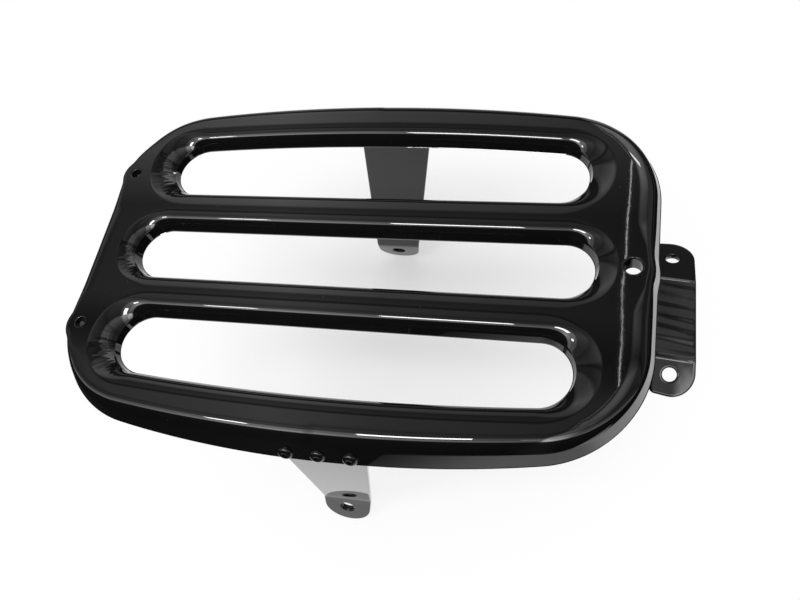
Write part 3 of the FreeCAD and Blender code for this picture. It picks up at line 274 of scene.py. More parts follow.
def makeDeck(d):
    parts = MeshParts()
    points, normals = outerRing(d)
    depth = skirtDepth(d, points[:, 0])
    for _ in range(3):
        depth = skirtDepth(d, points[:, 0] + normals[:, 0] * depth * math.tan(math.radians(d["draft"])))
    none = np.zeros(len(points))
    x, y = d["cornerHole"]
    holes = ((d["endHole"], d["endHoleBore"]), ((x, y), d["cornerBore"]), ((x, -y), d["cornerBore"]))
    away = np.min([np.hypot(points[:, 0] - centre[0], points[:, 1] - centre[1]) for centre, _ in holes], 0)
    near = np.clip((d["bossReach"] - away) / d["bossFade"], 0, 1)  # the edge is tighter where it passes a hole
    slope, start = d["endSpread"]
    atEnd = np.clip(slope * np.abs(normals[:, 0]) - start, 0, 1)  # and at the two ends
    edge = d["edgeRound"] + (d["endRound"] - d["edgeRound"]) * atEnd
    corner = 4 * (normals[:, 0] * normals[:, 1]) ** 2 * (points[:, 0] > 0)  # full half way round a front corner
    edge = edge + (d["cornerEdge"] - d["edgeRound"]) * corner
    edge = edge + (d["bossEdge"] - edge) * near ** 2 * (3 - 2 * near)
    slots = np.concatenate([ring for (ring, _), _ in slotRings(d)])
    room = np.min(np.hypot(*(points[:, None, :] - slots[None, :, :]).transpose(2, 0, 1)), 1)
    room = room - edge * math.tan(math.radians(45 - d["draft"] / 2)) - d["slotRoom"]
    room = room - np.where(points[:, 0] < 0, *d["wideDish"])
    edgeCrown = np.clip(np.minimum(room, d["holeSlope"] * (away - d["holeRoom"])), 0, d["edgeCrown"])
    outer = sweepWall(points, normals, *wallSection(d, depth, none, edge, edgeCrown))
    parts.grid(outer, flip=True)
    topRings, underRings = [outer[:, 0, :2]], [outer[:, -1, :2]]
    for (ring, away), tip in slotRings(d):
        beyond = np.clip((np.abs(ring[:, 0]) - tip) / (np.abs(ring[:, 0]).max() - tip), 0, 1)
        dish = beyond ** 2 * (3 - 2 * beyond)
        depth = np.full(len(ring), d["slotDepth"])
        middle = (ring[:, 1].max() + ring[:, 1].min()) / 2
        reach = d["dishReach"] + np.where(ring[:, 0] < 0, *d["wideDish"]) * (abs(middle) > 1)
        out, down = wallSection(d, depth, dish, d["rimRound"], d["crown"] * (1 - dish), reach)
        profile = np.zeros(down.shape[1])
        profile[7:20] = np.sin(np.linspace(0, math.pi, 13)) ** 2  # on the round alone
        down = down + dishRipple(d, ring, dish, (tip, middle))[:, None] * profile
        slot = sweepWall(ring, away, out, down)
        parts.grid(slot, flip=True)
        topRings.append(slot[:, 0, :2])
        underRings.append(slot[:, -1, :2])
    mouth, low, guard, bevel, wall = d["mouthRound"], -d["slotDepth"], d["guard"], d["bevel"], d["bossWall"]
    roof = guard - d["topPlate"]
    angle = np.linspace(0, math.pi / 2, 7)
    for centre, bore in holes:
        ring, away = circleRing(centre, bore / 2, 72)
        out = np.concatenate([[-mouth - guard], mouth * (np.sin(angle) - 1),
                              [0, 0, -bevel, bevel - wall, -wall, -wall]])
        down = np.concatenate([[0], mouth * (np.cos(angle) - 1),
                               [-mouth - 2 * guard, low + bevel, low, low, low + bevel, roof]])
        hole = sweepWall(ring, away, np.tile(out, (len(ring), 1)), np.tile(down, (len(ring), 1)))
        parts.grid(hole)
        topRings.append(hole[:, 0, :2])
        underRings.append(ring)
    reach, bore = d["postSize"][0] / 2, d["postSize"][1] / 2  # the strap's posts under the plate
    low = -d["postDrop"]
    for side in (1, -1):
        ring, away = circleRing((d["post"][0], side * d["post"][1]), reach, 72, inwards=False)
        out = np.array([-reach, 0, 0, -bevel, bore + guard - reach, bore - reach, bore - reach, -reach])
        down = np.array([roof, roof, low + bevel, low, low, low + guard, roof - 0.2, roof - 0.2])
        parts.grid(sweepWall(ring, away, np.tile(out, (len(ring), 1)), np.tile(down, (len(ring), 1))))
    flat, tri = fillBetween(topRings)
    parts.fill(lift(flat, 0.0), tri)
    flat, tri = fillBetween(underRings)
    parts.fill(lift(flat, -d["topPlate"]), tri, flip=True)
    return parts.build("rack_deck")


deckPiece = makeDeck(deckShape)
print("deck:", len(deckPiece.data.polygons), "faces")


# bent plates
# a plate is drawn flat as rings, given a rounded edge, and put in place by a bending function of (flat point, depth)
def makePlate(rings, thickness, edge, bend, extra=None):
    parts = MeshParts()
    angle = np.linspace(0, math.pi / 2, 6)
    inset = -edge - 0.6  # a narrow strip of the face goes with the round
    out = np.concatenate([[inset], edge * (np.sin(angle) - 1), edge * (np.cos(angle) - 1), [inset]])
    deep = np.concatenate([[0], edge * (1 - np.cos(angle)), thickness - edge * (1 - np.sin(angle)), [thickness]])
    faceRings = []
    for points, normals in rings:
        plan = points[:, None, :] + normals[:, None, :] * out[None, :, None]
        depth = np.tile(deep, (len(points), 1))
        grid = bend(plan.reshape(-1, 2), depth.reshape(-1)).reshape(len(points), len(out), 3)
        parts.grid(grid, flip=True)
        faceRings.append(plan[:, 0])
    flat, tri = fillBetween(faceRings, extra)
    parts.fill(bend(flat, np.zeros(len(flat))), tri)
    parts.fill(bend(flat, np.full(len(flat), thickness)), tri, flip=True)
    return parts


def cornerArc(before, corner, after, radius):  # arc that rounds a corner of a flat outline
    a, c, b = (np.array(v, float) for v in (before, corner, after))
    u, v = (a - c) / np.linalg.norm(a - c), (b - c) / np.linalg.norm(b - c)
    half = math.acos(np.clip(u @ v, -1, 1)) / 2
    middle = (u + v) / np.linalg.norm(u + v)
    centre = c + middle * radius / math.sin(half)
    touchA, touchB = c + u * radius / math.tan(half), c + v * radius / math.tan(half)
    first = math.atan2(*(touchA - centre)[::-1])
    last = math.atan2(*(touchB - centre)[::-1])
    swing = (last - first + math.pi) % turn - math.pi
    return ("arc", centre, radius, math.degrees(first), math.degrees(first + swing)), touchA, touchB


def roundedRing(corners, radii, spacing):  # polygon, anticlockwise, with each corner rounded
    arcs = [cornerArc(corners[i - 1], corners[i], corners[(i + 1) % len(corners)], radii[i])
            for i in range(len(corners))]
    segments = []
    for i, (arc, _, leave) in enumerate(arcs):
        segments += [arc, ("line", leave, arcs[(i + 1) % len(arcs)][1])]
    points, _ = tracePath(segments, spacing)
    return points, ringNormals(points)


# legs
legShape = dict(
    thickness=4.0, edge=0.9, lean=4.5, bend=6.0, footTurn=15.5, top=6.5, firstBend=20.0, secondBend=134.0,
    centre=2.5, flange=48.0, root=42.0, flare=6.0, footCentre=-20.9, footDrop=145.1, footRound=14.0, footHole=8.6,
    topRound=2.5, neckRound=3.0, hipRound=8.0,
)


def legFace(d, deck):
    # outer face of the leg from the side: its distance from the middle and the tilt of its normal, by depth
    draft, lean, foot = (math.radians(v) for v in (deck["draft"], d["lean"], d["footTurn"]))
    seat = deck["width"] / 2 - deck["wall"] / math.cos(draft)
    bend = d["bend"]
    one = seat + (d["firstBend"] - bend * math.sin(draft)) * math.tan(draft) - bend * math.cos(draft)
    run = d["secondBend"] - d["firstBend"] - 2 * bend * math.sin(lean)
    two = one + 2 * bend * math.cos(lean) - run * math.tan(lean)
    tiltOne = np.linspace(draft, -lean, 30)
    tiltTwo = np.linspace(-lean, foot, 30)
    low = d["footDrop"] + 2 * d["footRound"]
    tabTop = d["secondBend"] + bend * math.sin(foot)
    tabOut = two - bend * math.cos(foot)
    depth = np.concatenate([[0], d["firstBend"] - bend * np.sin(tiltOne),
                            d["secondBend"] + bend * np.sin(tiltTwo), [low]])
    out = np.concatenate([[seat], one + bend * np.cos(tiltOne), two - bend * np.cos(tiltTwo),
                          [tabOut + (low - tabTop) * math.tan(foot)]])
    tilt = np.concatenate([[draft], tiltOne, tiltTwo, [foot]])
    return depth, out, tilt


def makeLeg(d, deck, side, name):
    depth, out, tilt = legFace(d, deck)

    # flat is (x, z) from the front, at half thickness; depth goes inwards along the face's normal
    def bend(flat, deep):
        a = np.interp(-flat[:, 1], depth, tilt)
        z = flat[:, 1] + d["thickness"] / 2 * np.sin(a)
        a = np.interp(-z, depth, tilt)
        return np.stack([flat[:, 0], side * (np.interp(-z, depth, out) - deep * np.cos(a)), z - deep * np.sin(a)], 1)

    flangeLow = deck["skirtMid"]
    root = flangeLow + d["flare"]
    foot = np.array([d["footCentre"], -d["footDrop"]])
    edges = {}
    for way in (1, -1):
        shoulder = np.array([d["centre"] + way * d["root"] / 2, -root])
        span = shoulder - foot
        angle = math.atan2(span[1], span[0]) - way * math.acos(d["footRound"] / np.hypot(*span))
        edges[way] = (shoulder, math.degrees(angle))
    left, right = d["centre"] - d["flange"] / 2, d["centre"] + d["flange"] / 2
    touch = {way: foot + d["footRound"] * np.array([math.cos(math.radians(a)), math.sin(math.radians(a))])
             for way, (_, a) in edges.items()}
    upLeft, upRight, lowLeft, lowRight = ((x, -z) for z in (d["top"], flangeLow) for x in (left, right))
    rootLeft, rootRight = edges[-1][0], edges[1][0]
    topLeft, topLeftIn, topLeftOut = cornerArc(upRight, upLeft, lowLeft, d["topRound"])
    topRight, topRightIn, topRightOut = cornerArc(lowRight, upRight, upLeft, d["topRound"])
    neckLeft, neckLeftIn, neckLeftOut = cornerArc(upLeft, lowLeft, rootLeft, d["neckRound"])
    neckRight, neckRightIn, neckRightOut = cornerArc(rootRight, lowRight, upRight, d["neckRound"])
    hipLeft, hipLeftIn, hipLeftOut = cornerArc(lowLeft, rootLeft, touch[-1], d["hipRound"])
    hipRight, hipRightIn, hipRightOut = cornerArc(touch[1], rootRight, lowRight, d["hipRound"])
    points, _ = tracePath([
        topLeft, ("line", topLeftOut, neckLeftIn), neckLeft, ("line", neckLeftOut, hipLeftIn), hipLeft,
        ("line", hipLeftOut, touch[-1]), ("arc", foot, d["footRound"], edges[-1][1] % 360, edges[1][1] + 360),
        ("line", touch[1], hipRightIn), hipRight, ("line", hipRightOut, neckRightIn), neckRight,
        ("line", neckRightOut, topRightIn), topRight, ("line", topRightOut, topLeftIn)], 2.0)
    hole, away = circleRing((0, 0), d["footHole"] / 2, 64)
    squeeze = np.array([1, math.cos(math.radians(d["footTurn"]))])  # a hole square to the tilted tab
    # more points in rows across the two bends
    rows = -np.concatenate([d["firstBend"] + np.linspace(-2.2, 0.8, 9), d["secondBend"] + np.linspace(-0.8, 1.9, 9)])
    across = np.linspace(-1, 1, 9)
    middle = np.interp(-rows, [root, d["footDrop"]], [d["centre"], d["footCentre"]])
    half = np.interp(-rows, [root, d["footDrop"]], [d["root"] / 2, d["footRound"]]) - 3.0
    extra = np.stack([middle[:, None] + half[:, None] * across, np.tile(rows[:, None], (1, 9))], -1).reshape(-1, 2)
    rings = [(points, ringNormals(points)), (foot + hole * squeeze, away * squeeze)]
    parts = makePlate(rings, d["thickness"], d["edge"], bend, extra)
    if side > 0:
        parts.faces = [block[:, ::-1] for block in parts.faces]
    return parts.build(name)


legPieces = {side: makeLeg(legShape, deckShape, side, name)
             for side, name in ((-1, "rack_leg_right"), (1, "rack_leg_left"))}
print("legs:", sum(len(p.data.polygons) for p in legPieces.values()), "faces")

# fender strap
strapShape = dict(
    thickness=3.0, edge=0.7, reach=171.0, width=21.5, span=92.0, flat=40.0, drop=41.5, earTurn=22.0, earBend=8.0,
    cornerRound=(3.0, 11.0, 12.5, 4.0), nearCut=4.0, frontCut=1.2, hole=6.8, holeSpacing=67.4, holeInset=12.2,
    bendShift=4.0, skew=0.10, ridge=0.12, ridgeWidth=0.8,
    wave=0.028, waveLength=(6.2, 9.7), waveShare=0.6, wavePhase=1.0, waveSlant=0.2, waveEnd=4.0,
    webBend=5.0, webFace=146.0, webTop=64.0, webLow=36.0, webInset=0.1, shoulder=3.0, tongue=5.0,
    webRound=(2, 3, 3, 2, 2, 4, 4, 1.2, 1.2, 4, 4, 2),
    flangeTop=9.5, flangeLength=24.0, notch=28.0, screwX=132.0, screwSpacing=46.0, screwHole=5.6,
)


# flat in the middle, then an arc, then a straight ear: height and tilt by the distance from the middle
def archHeight(d, y):
    ear = math.radians(d["earTurn"])
    away = np.abs(y) - d["flat"] / 2
    tilt = np.where(away <= 0, 0, np.arcsin(np.clip(away / d["earBend"], 0, math.sin(ear))))
    arc = d["earBend"] * (1 - np.cos(tilt))
    straight = np.maximum(away - d["earBend"] * math.sin(ear), 0) * math.tan(ear)
    # mark of the press along the bend
    press = d["ridge"] * 0.5 * (1 + np.tanh((away - d["earBend"] * math.sin(ear)) / d["ridgeWidth"]))
    return -d["drop"] - arc - straight - press, tilt * np.sign(y)


def makeStrap(d):
    def bendArch(flat, deep):
        # the two bends lie off the middle and slightly aslant
        across = flat[:, 1] + d["skew"] * (flat[:, 0] - front + d["width"] / 2) + d["bendShift"]
        z, tilt = archHeight(d, across)
        # two waves in the flat's upper face, the first aslant, which end before the bends
        inside = np.clip((d["flat"] / 2 - np.abs(across)) / d["waveEnd"], 0, 1) * (deep < 0.01)
        one, two = d["waveLength"]
        roll = np.sin(turn * (flat[:, 1] + d["waveSlant"] * flat[:, 0]) / one)
        roll = roll + d["waveShare"] * np.sin(turn * flat[:, 1] / two + d["wavePhase"])
        z = z - d["wave"] * inside * (1 + d["waveShare"] + roll)
        return np.stack([flat[:, 0], flat[:, 1] - deep * np.sin(tilt), z - deep * np.cos(tilt)], 1)

    back, front, half = d["reach"] - d["width"], d["reach"], d["span"] / 2
    outline = roundedRing([(back, d["nearCut"] - half), (front, -half), (front - d["frontCut"], half), (back, half)],
                          d["cornerRound"], 1.5)
    hole, away = circleRing((0, 0), d["hole"] / 2, 56)
    squeeze = np.array([1, math.cos(math.radians(d["earTurn"]))])
    holes = [(np.array([front - d["holeInset"], side * d["holeSpacing"] / 2]) + hole * squeeze, away * squeeze)
             for side in (1, -1)]
    bends = [side * (d["flat"] / 2 + np.linspace(-1.3, 4.3, 20)) for side in (1, -1)]
    rows = np.concatenate(bends + [np.linspace(-18, 18, 61)]) - d["bendShift"]
    across = np.linspace(back + 2.2, front - 2.2, 9)
    extra = np.stack(np.meshgrid(across, rows), -1).reshape(-1, 2)
    parts = makePlate([outline] + holes, d["thickness"], d["edge"], bendArch, extra)

    # web path from the side: flange, outer bend, drop, inner bend and a tongue that ends inside the arch
    outer, inner = d["webBend"], d["webBend"] - d["thickness"]
    face, top, low = d["webFace"], -d["flangeTop"], -d["drop"] - d["webInset"]
    swing = np.linspace(0, math.pi / 2, 16)
    px = np.concatenate([[face - d["flangeLength"]], face - outer + outer * np.sin(swing),
                         face + inner - inner * np.cos(swing), [back + d["tongue"]]])
    pz = np.concatenate([[top], top - outer + outer * np.cos(swing), low + inner - inner * np.sin(swing), [low]])
    turnDown = np.concatenate([[0], swing, swing[::-1], [0]])
    s = np.concatenate([[0], np.cumsum(np.hypot(np.diff(px), np.diff(pz)))])

    def bendWeb(flat, deep):  # flat is (distance along the path, y)
        x, z, a = (np.interp(flat[:, 0], s, v) for v in (px, pz, turnDown))
        return np.stack([x - deep * np.sin(a), flat[:, 1], z - deep * np.cos(a)], 1)

    wide, narrow, gap = d["webTop"] / 2, d["webLow"] / 2, d["notch"] / 2
    shoulder, end = s[16] + d["shoulder"], s[-1]
    web = roundedRing([(0, gap), (shoulder, gap), (shoulder, -gap), (0, -gap), (0, -wide), (shoulder, -wide),
                       (shoulder, -narrow), (end, -narrow), (end, narrow), (shoulder, narrow), (shoulder, wide),
                       (0, wide)], d["webRound"], 1.5)
    screwAt = np.interp(d["screwX"], px[:2], s[:2])
    hole, away = circleRing((0, 0), d["screwHole"] / 2, 40)
    holes = [(np.array([screwAt, side * d["screwSpacing"] / 2]) + hole, away) for side in (1, -1)]
    rows = np.concatenate([np.linspace(s[1], s[16], 14), np.linspace(s[17], s[32], 8)])
    across = np.linspace(-narrow + 2, narrow - 2, 7)
    extra = np.stack(np.meshgrid(rows[14:], across), -1).reshape(-1, 2)
    tabs = np.linspace(gap + 2, wide - 2, 5)
    wings = np.stack(np.meshgrid(rows[:14], np.concatenate([tabs, -tabs])), -1).reshape(-1, 2)
    extra = np.concatenate([extra, wings])
    webParts = makePlate([web] + holes, d["thickness"] - 2 * d["webInset"], d["edge"], bendWeb, extra)
    parts.faces += [block + parts.count for block in webParts.faces]
    parts.points += webParts.points
    parts.count += webParts.count
    return parts.build("rack_fender_strap")


strapPiece = makeStrap(strapShape)
print("strap:", len(strapPiece.data.polygons), "faces")


# fasteners
def hexagonShare(angle):  # radius of a hexagon by angle, 1 at its corners
    return math.cos(math.pi / 6) / np.cos((angle + math.pi / 6) % (math.pi / 3) - math.pi / 6)


def turned(steps, count=72):  # turned surface: each step is (radius, hexagon share, height)
    angle = turn * np.arange(count) / count
    radius, share, height = np.array(steps, float).T
    reach = radius * (1 + share * (hexagonShare(angle)[:, None] - 1))
    return np.stack([reach * np.cos(angle)[:, None], reach * np.sin(angle)[:, None],
                     np.tile(height, (count, 1))], -1)


def screwSteps(shank, length, head, height, socket):  # socket floor, hexagon wall, flat crown, dome, seat, shank, tip
    key = socket / 2 / math.cos(math.pi / 6)
    dome = np.linspace(0.12, math.pi / 2, 9)
    crown = 0.52 * head / 2
    steps = [(0, 1, 0.4 * height), (0.6 * key, 1, 0.4 * height), (key, 1, 0.42 * height), (key, 1, height - 0.25),
             (1.05 * key, 1, height - 0.06), (1.16 * key, 0.7, height)]
    steps += [(crown + (head / 2 - crown) * math.sin(a), 0, 0.16 * height + 0.84 * height * math.cos(a))
              for a in dome]
    steps += [(head / 2 - 0.05, 0, 0.06 * height), (head / 2 - 0.2, 0, 0), (shank / 2, 0, 0),
              (shank / 2, 0, 0.4 - length), (shank / 2 - 0.4, 0, -length), (0, 0, -length)]
    return steps


def nutSteps(bore, flats, height):
    corner = flats / 2 / math.cos(math.pi / 6)
    face, mouth, bevel = flats / 2 * 0.96, 0.4, 0.55
    return [(bore / 2, 0, mouth), (bore / 2 + mouth, 0, 0), (face, 0, 0), (corner, 1, bevel),
            (corner, 1, height - bevel), (face, 0, height), (bore / 2 + mouth, 0, height),
            (bore / 2, 0, height - mouth), (bore / 2, 0, mouth)]


def placeTurned(name, steps, foot, axis, spin):  # stands a turned surface on a point, along an axis
    axis = np.array(axis, float) / np.linalg.norm(axis)
    side = np.array([1.0, 0, 0])
    other = np.cross(axis, side)
    c, q = math.cos(spin), math.sin(spin)
    frameRows = np.stack([c * side + q * other, c * other - q * side, axis])
    parts = MeshParts()
    parts.grid(turned(steps) @ frameRows + np.array(foot, float))
    return parts.build(name, sharp=32)


fastenerShape = dict(
    screw=(4.0, 12.0, 7.6, 2.2, 2.5), nut=(4.1, 7.0, 3.2), drop=12.6, spacing=16.0, sink=0.35,
    strapScrew=(5.0, 9.0, 9.5, 2.75, 3.0), spins=(0.35, 1.2, 2.1), strapSpin=0.4,
)
fastenerPieces = []


def makeFasteners(d, deck, leg, strap):
    draft = math.radians(deck["draft"])
    out = deck["width"] / 2 + d["drop"] * math.tan(draft) - d["sink"] * math.cos(draft)
    up = -d["drop"] - d["sink"] * math.sin(draft)
    inward = d["sink"] - deck["wall"] - leg["thickness"] - d["nut"][2]
    for side, name in ((1, "left"), (-1, "right")):
        axis = np.array([0, side * math.cos(draft), math.sin(draft)])
        for number, step in enumerate((-1, 0, 1), start=1):
            seat = np.array([leg["centre"] + step * d["spacing"], side * out, up])
            spin = d["spins"][number - 1]
            screw = placeTurned("leg_screw_%s_%d" % (name, number), screwSteps(*d["screw"]), seat, axis, spin)
            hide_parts("%s_leg_screw_%d" % (name, number))
            foot = seat + axis * inward
            nut = placeTurned("leg_nut_%s_%d" % (name, number), nutSteps(*d["nut"]), foot, axis, spin)
            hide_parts("%s_leg_nut_%d" % (name, number))
            fastenerPieces.extend([screw, nut])
    for number, side in ((1, 1), (2, -1)):
        seat = (strap["screwX"], side * strap["screwSpacing"] / 2, -strap["flangeTop"] - strap["thickness"])
        screw = placeTurned("strap_screw_below_%d" % number, screwSteps(*d["strapScrew"]), seat, (0, 0, -1),
                            d["strapSpin"] * number)
        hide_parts("strap_screw_%d" % number)
        fastenerPieces.append(screw)


makeFasteners(fastenerShape, deckShape, legShape, strapShape)
print("fasteners:", len(fastenerPieces))


# materials
def addNode(tree, kind, inputs=None, **settings):  # each input is a socket to link, or a value to set
    node = tree.nodes.new(kind)
    for name, value in settings.items():
        setattr(node, name, value)
    for name, value in (inputs or {}).items():
        if isinstance(value, bpy.types.NodeSocket):
            tree.links.new(value, node.inputs[name])
        else:
            node.inputs[name].default_value = value
    return node


def addMath(tree, operation, *values):
    return addNode(tree, "ShaderNodeMath", dict(enumerate(values)), operation=operation).outputs["Value"]


def addMap(tree, value, places, shares=(0.0, 1.0), kind="LINEAR"):  # carries a range of places over to shares
    ends = {"From Min": places[0], "From Max": places[1], "To Min": shares[0], "To Max": shares[1]}
    return addNode(tree, "ShaderNodeMapRange", {"Value": value, **ends}, interpolation_type=kind).outputs["Result"]


def addNoise(tree, vector, scale, detail):
    inputs = {"Vector": vector, "Scale": scale, "Detail": detail}
    return addNode(tree, "ShaderNodeTexNoise", inputs).outputs["Fac"]


def newGroup(name, inputs, outputs):
    group = bpy.data.node_groups.new(name, "ShaderNodeTree")
    for label, kind, value in inputs:
        socket = group.interface.new_socket(label, in_out="INPUT", socket_type=kind)
        socket.default_value = value
    for label, kind in outputs:
        group.interface.new_socket(label, in_out="OUTPUT", socket_type=kind)
    return group, group.nodes.new("NodeGroupInput").outputs, group.nodes.new("NodeGroupOutput").inputs


coatLook = dict(
    peelDetail=1.5, swayScale=16.0, swayDetail=1.0, swayShare=110.0,
    cloudScale=22.0, cloudDetail=4.0, cloudShare=0.025,
    speckScale=260.0, speckSize=(0.10, 0.04), speckRare=0.93, dustColor=(0.09, 0.09, 0.09, 1), dustRough=0.5,
)


# coat finish: fine orange peel on a slow sway in the height, a faint cloud in the gloss, and a few specks of dust
def makeCoatGroup(c):
    group, given, result = newGroup(
        "coatFinish",
        [("Base", "NodeSocketColor", (0.004, 0.004, 0.0045, 1)), ("Peel Scale", "NodeSocketFloat", 420.0),
         ("Gloss", "NodeSocketFloat", 0.07), ("Dust", "NodeSocketFloat", 0.35)],
        [("Color", "NodeSocketColor"), ("Roughness", "NodeSocketFloat"), ("Height", "NodeSocketFloat")])
    coord = addNode(group, "ShaderNodeTexCoord").outputs["Object"]
    peel = addNoise(group, coord, given["Peel Scale"], c["peelDetail"])
    sway = addNoise(group, coord, c["swayScale"], c["swayDetail"])
    height = addMath(group, "MULTIPLY_ADD", sway, c["swayShare"], peel)
    cloud = addNoise(group, coord, c["cloudScale"], c["cloudDetail"])
    rough = addMath(group, "MULTIPLY_ADD", cloud, c["cloudShare"], given["Gloss"])
    speck = addNode(group, "ShaderNodeTexVoronoi", {"Vector": coord, "Scale": c["speckScale"]}).outputs
    dot = addMap(group, speck["Distance"], c["speckSize"])
    split = addNode(group, "ShaderNodeSeparateColor", {"Color": speck["Color"]})
    rare = addMath(group, "GREATER_THAN", split.outputs["Red"], c["speckRare"])  # most cells stay without a speck
    amount = addMath(group, "MULTIPLY", addMath(group, "MULTIPLY", dot, rare), given["Dust"])
    tint = addNode(group, "ShaderNodeMix", {"Factor": amount, "A": given["Base"], "B": c["dustColor"]},
                   data_type="RGBA")
    roughDust = addMath(group, "MULTIPLY_ADD", amount, c["dustRough"], rough)
    for label, value in (("Color", tint.outputs["Result"]), ("Roughness", roughDust), ("Height", height)):
        group.links.new(value, result[label])
    return group


coatGroup = makeCoatGroup(coatLook)


def makeCoat(name, base, gloss, peelScale, peelDepth, dust, ior=1.5):
    material = bpy.data.materials.new(name)
    material.use_nodes = True
    tree = material.node_tree
    shader = tree.nodes["Principled BSDF"]
    finish = addNode(tree, "ShaderNodeGroup", node_tree=coatGroup)
    for label, value in (("Base", (*base, 1)), ("Gloss", gloss), ("Peel Scale", peelScale), ("Dust", dust)):
        finish.inputs[label].default_value = value
    bump = addNode(tree, "ShaderNodeBump",
                   {"Strength": 1.0, "Distance": peelDepth, "Height": finish.outputs["Height"]})
    tree.links.new(finish.outputs["Color"], shader.inputs["Base Color"])
    tree.links.new(finish.outputs["Roughness"], shader.inputs["Roughness"])
    tree.links.new(bump.outputs["Normal"], shader.inputs["Normal"])
    shader.inputs["IOR"].default_value = ior
    return material


coatColor = (0.004, 0.004, 0.0045)
blackCoat = makeCoat("black_coat", coatColor, gloss=0.01, peelScale=420.0, peelDepth=0.0000016, dust=0.35)
strapCoat = makeCoat("black_coat_strap", coatColor, gloss=0.04, peelScale=150.0, peelDepth=0.00002, dust=0.5)
blackScrews = makeCoat("black_fasteners", (0.006, 0.006, 0.0065), gloss=0.12, peelScale=900.0, peelDepth=0.000004,
                       dust=0.2)


def dress(piece, material):
    piece.data.materials.clear()
    piece.data.materials.append(material)


for piece, stands in ((deckPiece, "deck"), (legPieces[1], "left_leg"), (legPieces[-1], "right_leg"),
                      (strapPiece, "fender_strap")):
    dress(piece, strapCoat if piece is strapPiece else blackCoat)
    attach(piece, "root")
    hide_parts(stands)
for piece in fastenerPieces:
    dress(piece, blackScrews)
    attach(piece, "root")
print("materials done")


# studio
studio = dict(
    floorHeight=-0.1600, floorColor=(0.88, 0.88, 0.88, 1), floorRough=0.8, floorSpecular=0.1,
    sheet=((0.00, -0.33), (0.25, -0.33), (0.95, -0.85), (0.95, -0.55), (0.42, -0.265), (0.365, -0.265),
           (0.36, -0.05), (0.29, 0.10), (0.29, 1.00), (-0.90, 1.00), (-0.90, 0.70)),
    # each fade is (places, shares at them); the shadow's is by the distance from its centre
    shadowCentre=(0.0, 0.06), shadowFade=((0.0, 0.21), (0.42, 1.0)),
    # painted reflection: in the gloss the sheet glows dim far off and towards its near left edge, and brighter to the
    # right
    farFade=((0.40, 1.50), (1.0, 0.1)), nearSlant=0.75, nearFade=((-0.335, -0.225), (0.12, 1.3)),
    rightLift=((0.235, 0.30), (0.85, 1.5)),
    # sky by angle from overhead, in degrees towards the far side, as (angle, brightness)
    sky=((-180, 0.03), (-60, 0.03), (-36, 0.05), (-33, 3.4), (-26, 3.4), (-24, 2.0), (-13, 1.8), (-10, 0.5),
         (3, 0.5), (8, 0.28), (14, 0.5), (21.5, 0.55), (23, 0.08), (24.6, 0.08), (26.4, 0.31), (34, 0.22),
         (38, 0.8), (56, 0.8), (62, 0.45), (64, 0.05), (78, 0.05), (82, 0.2), (89, 0.7), (91, 0.05), (180, 0.03)),
    # its share along the deck, by the sideways part of the direction
    along=((-1, 0.6), (-0.62, 0.7), (-0.5, 1.1), (-0.4, 1.6), (-0.28, 0.95), (-0.1, 0.65), (0.02, 0.42),
           (0.055, 2.8), (0.1, 2.8), (0.3, 0.5)),
)
white = (1, 1, 1, 1)


def makeFloor(s):
    mesh = bpy.data.meshes.new("floor")
    mesh.from_pydata([(x, y, s["floorHeight"]) for x, y in s["sheet"]], [], [tuple(range(len(s["sheet"])))])
    floor = bpy.data.objects.new("floor", mesh)
    bpy.context.scene.collection.objects.link(floor)
    material = bpy.data.materials.new("pale_floor")
    material.use_nodes = True
    tree = material.node_tree
    shader = tree.nodes["Principled BSDF"]
    shader.inputs["Base Color"].default_value = s["floorColor"]
    shader.inputs["Roughness"].default_value = s["floorRough"]
    shader.inputs["Specular IOR Level"].default_value = s["floorSpecular"]
    coord = addNode(tree, "ShaderNodeTexCoord").outputs["Object"]
    centre = (*s["shadowCentre"], s["floorHeight"])
    under = addNode(tree, "ShaderNodeVectorMath", {0: coord, 1: centre}, operation="SUBTRACT").outputs["Vector"]
    away = addNode(tree, "ShaderNodeVectorMath", {0: under}, operation="LENGTH").outputs["Value"]
    split = addNode(tree, "ShaderNodeSeparateXYZ", {"Vector": coord}).outputs
    slant = addMath(tree, "MULTIPLY_ADD", split["X"], s["nearSlant"], split["Y"])
    # painted reflection: the glow that mirrored rays see, set by place on the sheet; camera rays see plain white
    mirrorGlow = addMap(tree, away, *s["farFade"], kind="SMOOTHSTEP")
    for place, fade in ((slant, s["nearFade"]), (split["X"], s["rightLift"])):
        mirrorGlow = addMath(tree, "MULTIPLY", mirrorGlow, addMap(tree, place, *fade, kind="SMOOTHSTEP"))
    ray = addNode(tree, "ShaderNodeLightPath").outputs
    bright = addNode(tree, "ShaderNodeMix", {"Factor": ray["Is Camera Ray"], "A": mirrorGlow, "B": 1.0})
    glow = addNode(tree, "ShaderNodeEmission", {"Color": white, "Strength": bright.outputs["Result"]})
    bent = addMath(tree, "MAXIMUM", ray["Is Glossy Ray"], ray["Is Transmission Ray"])
    seen = addMath(tree, "MAXIMUM", ray["Is Camera Ray"], bent)
    shadow = addMap(tree, away, *s["shadowFade"], kind="SMOOTHSTEP")  # fades out away from the object
    amount = addMath(tree, "MULTIPLY", seen, shadow)
    above = addNode(tree, "ShaderNodeMixShader",
                    {"Fac": amount, 1: shader.outputs["BSDF"], 2: glow.outputs["Emission"]})
    clear = addNode(tree, "ShaderNodeBsdfTransparent")  # from below the sheet doesn't hide the object
    facing = addNode(tree, "ShaderNodeNewGeometry").outputs["Backfacing"]
    side = addNode(tree, "ShaderNodeMixShader", {"Fac": facing, 1: above.outputs["Shader"], 2: clear.outputs["BSDF"]})
    tree.links.new(side.outputs["Shader"], tree.nodes["Material Output"].inputs["Surface"])
    dress(floor, material)


makeFloor(studio)


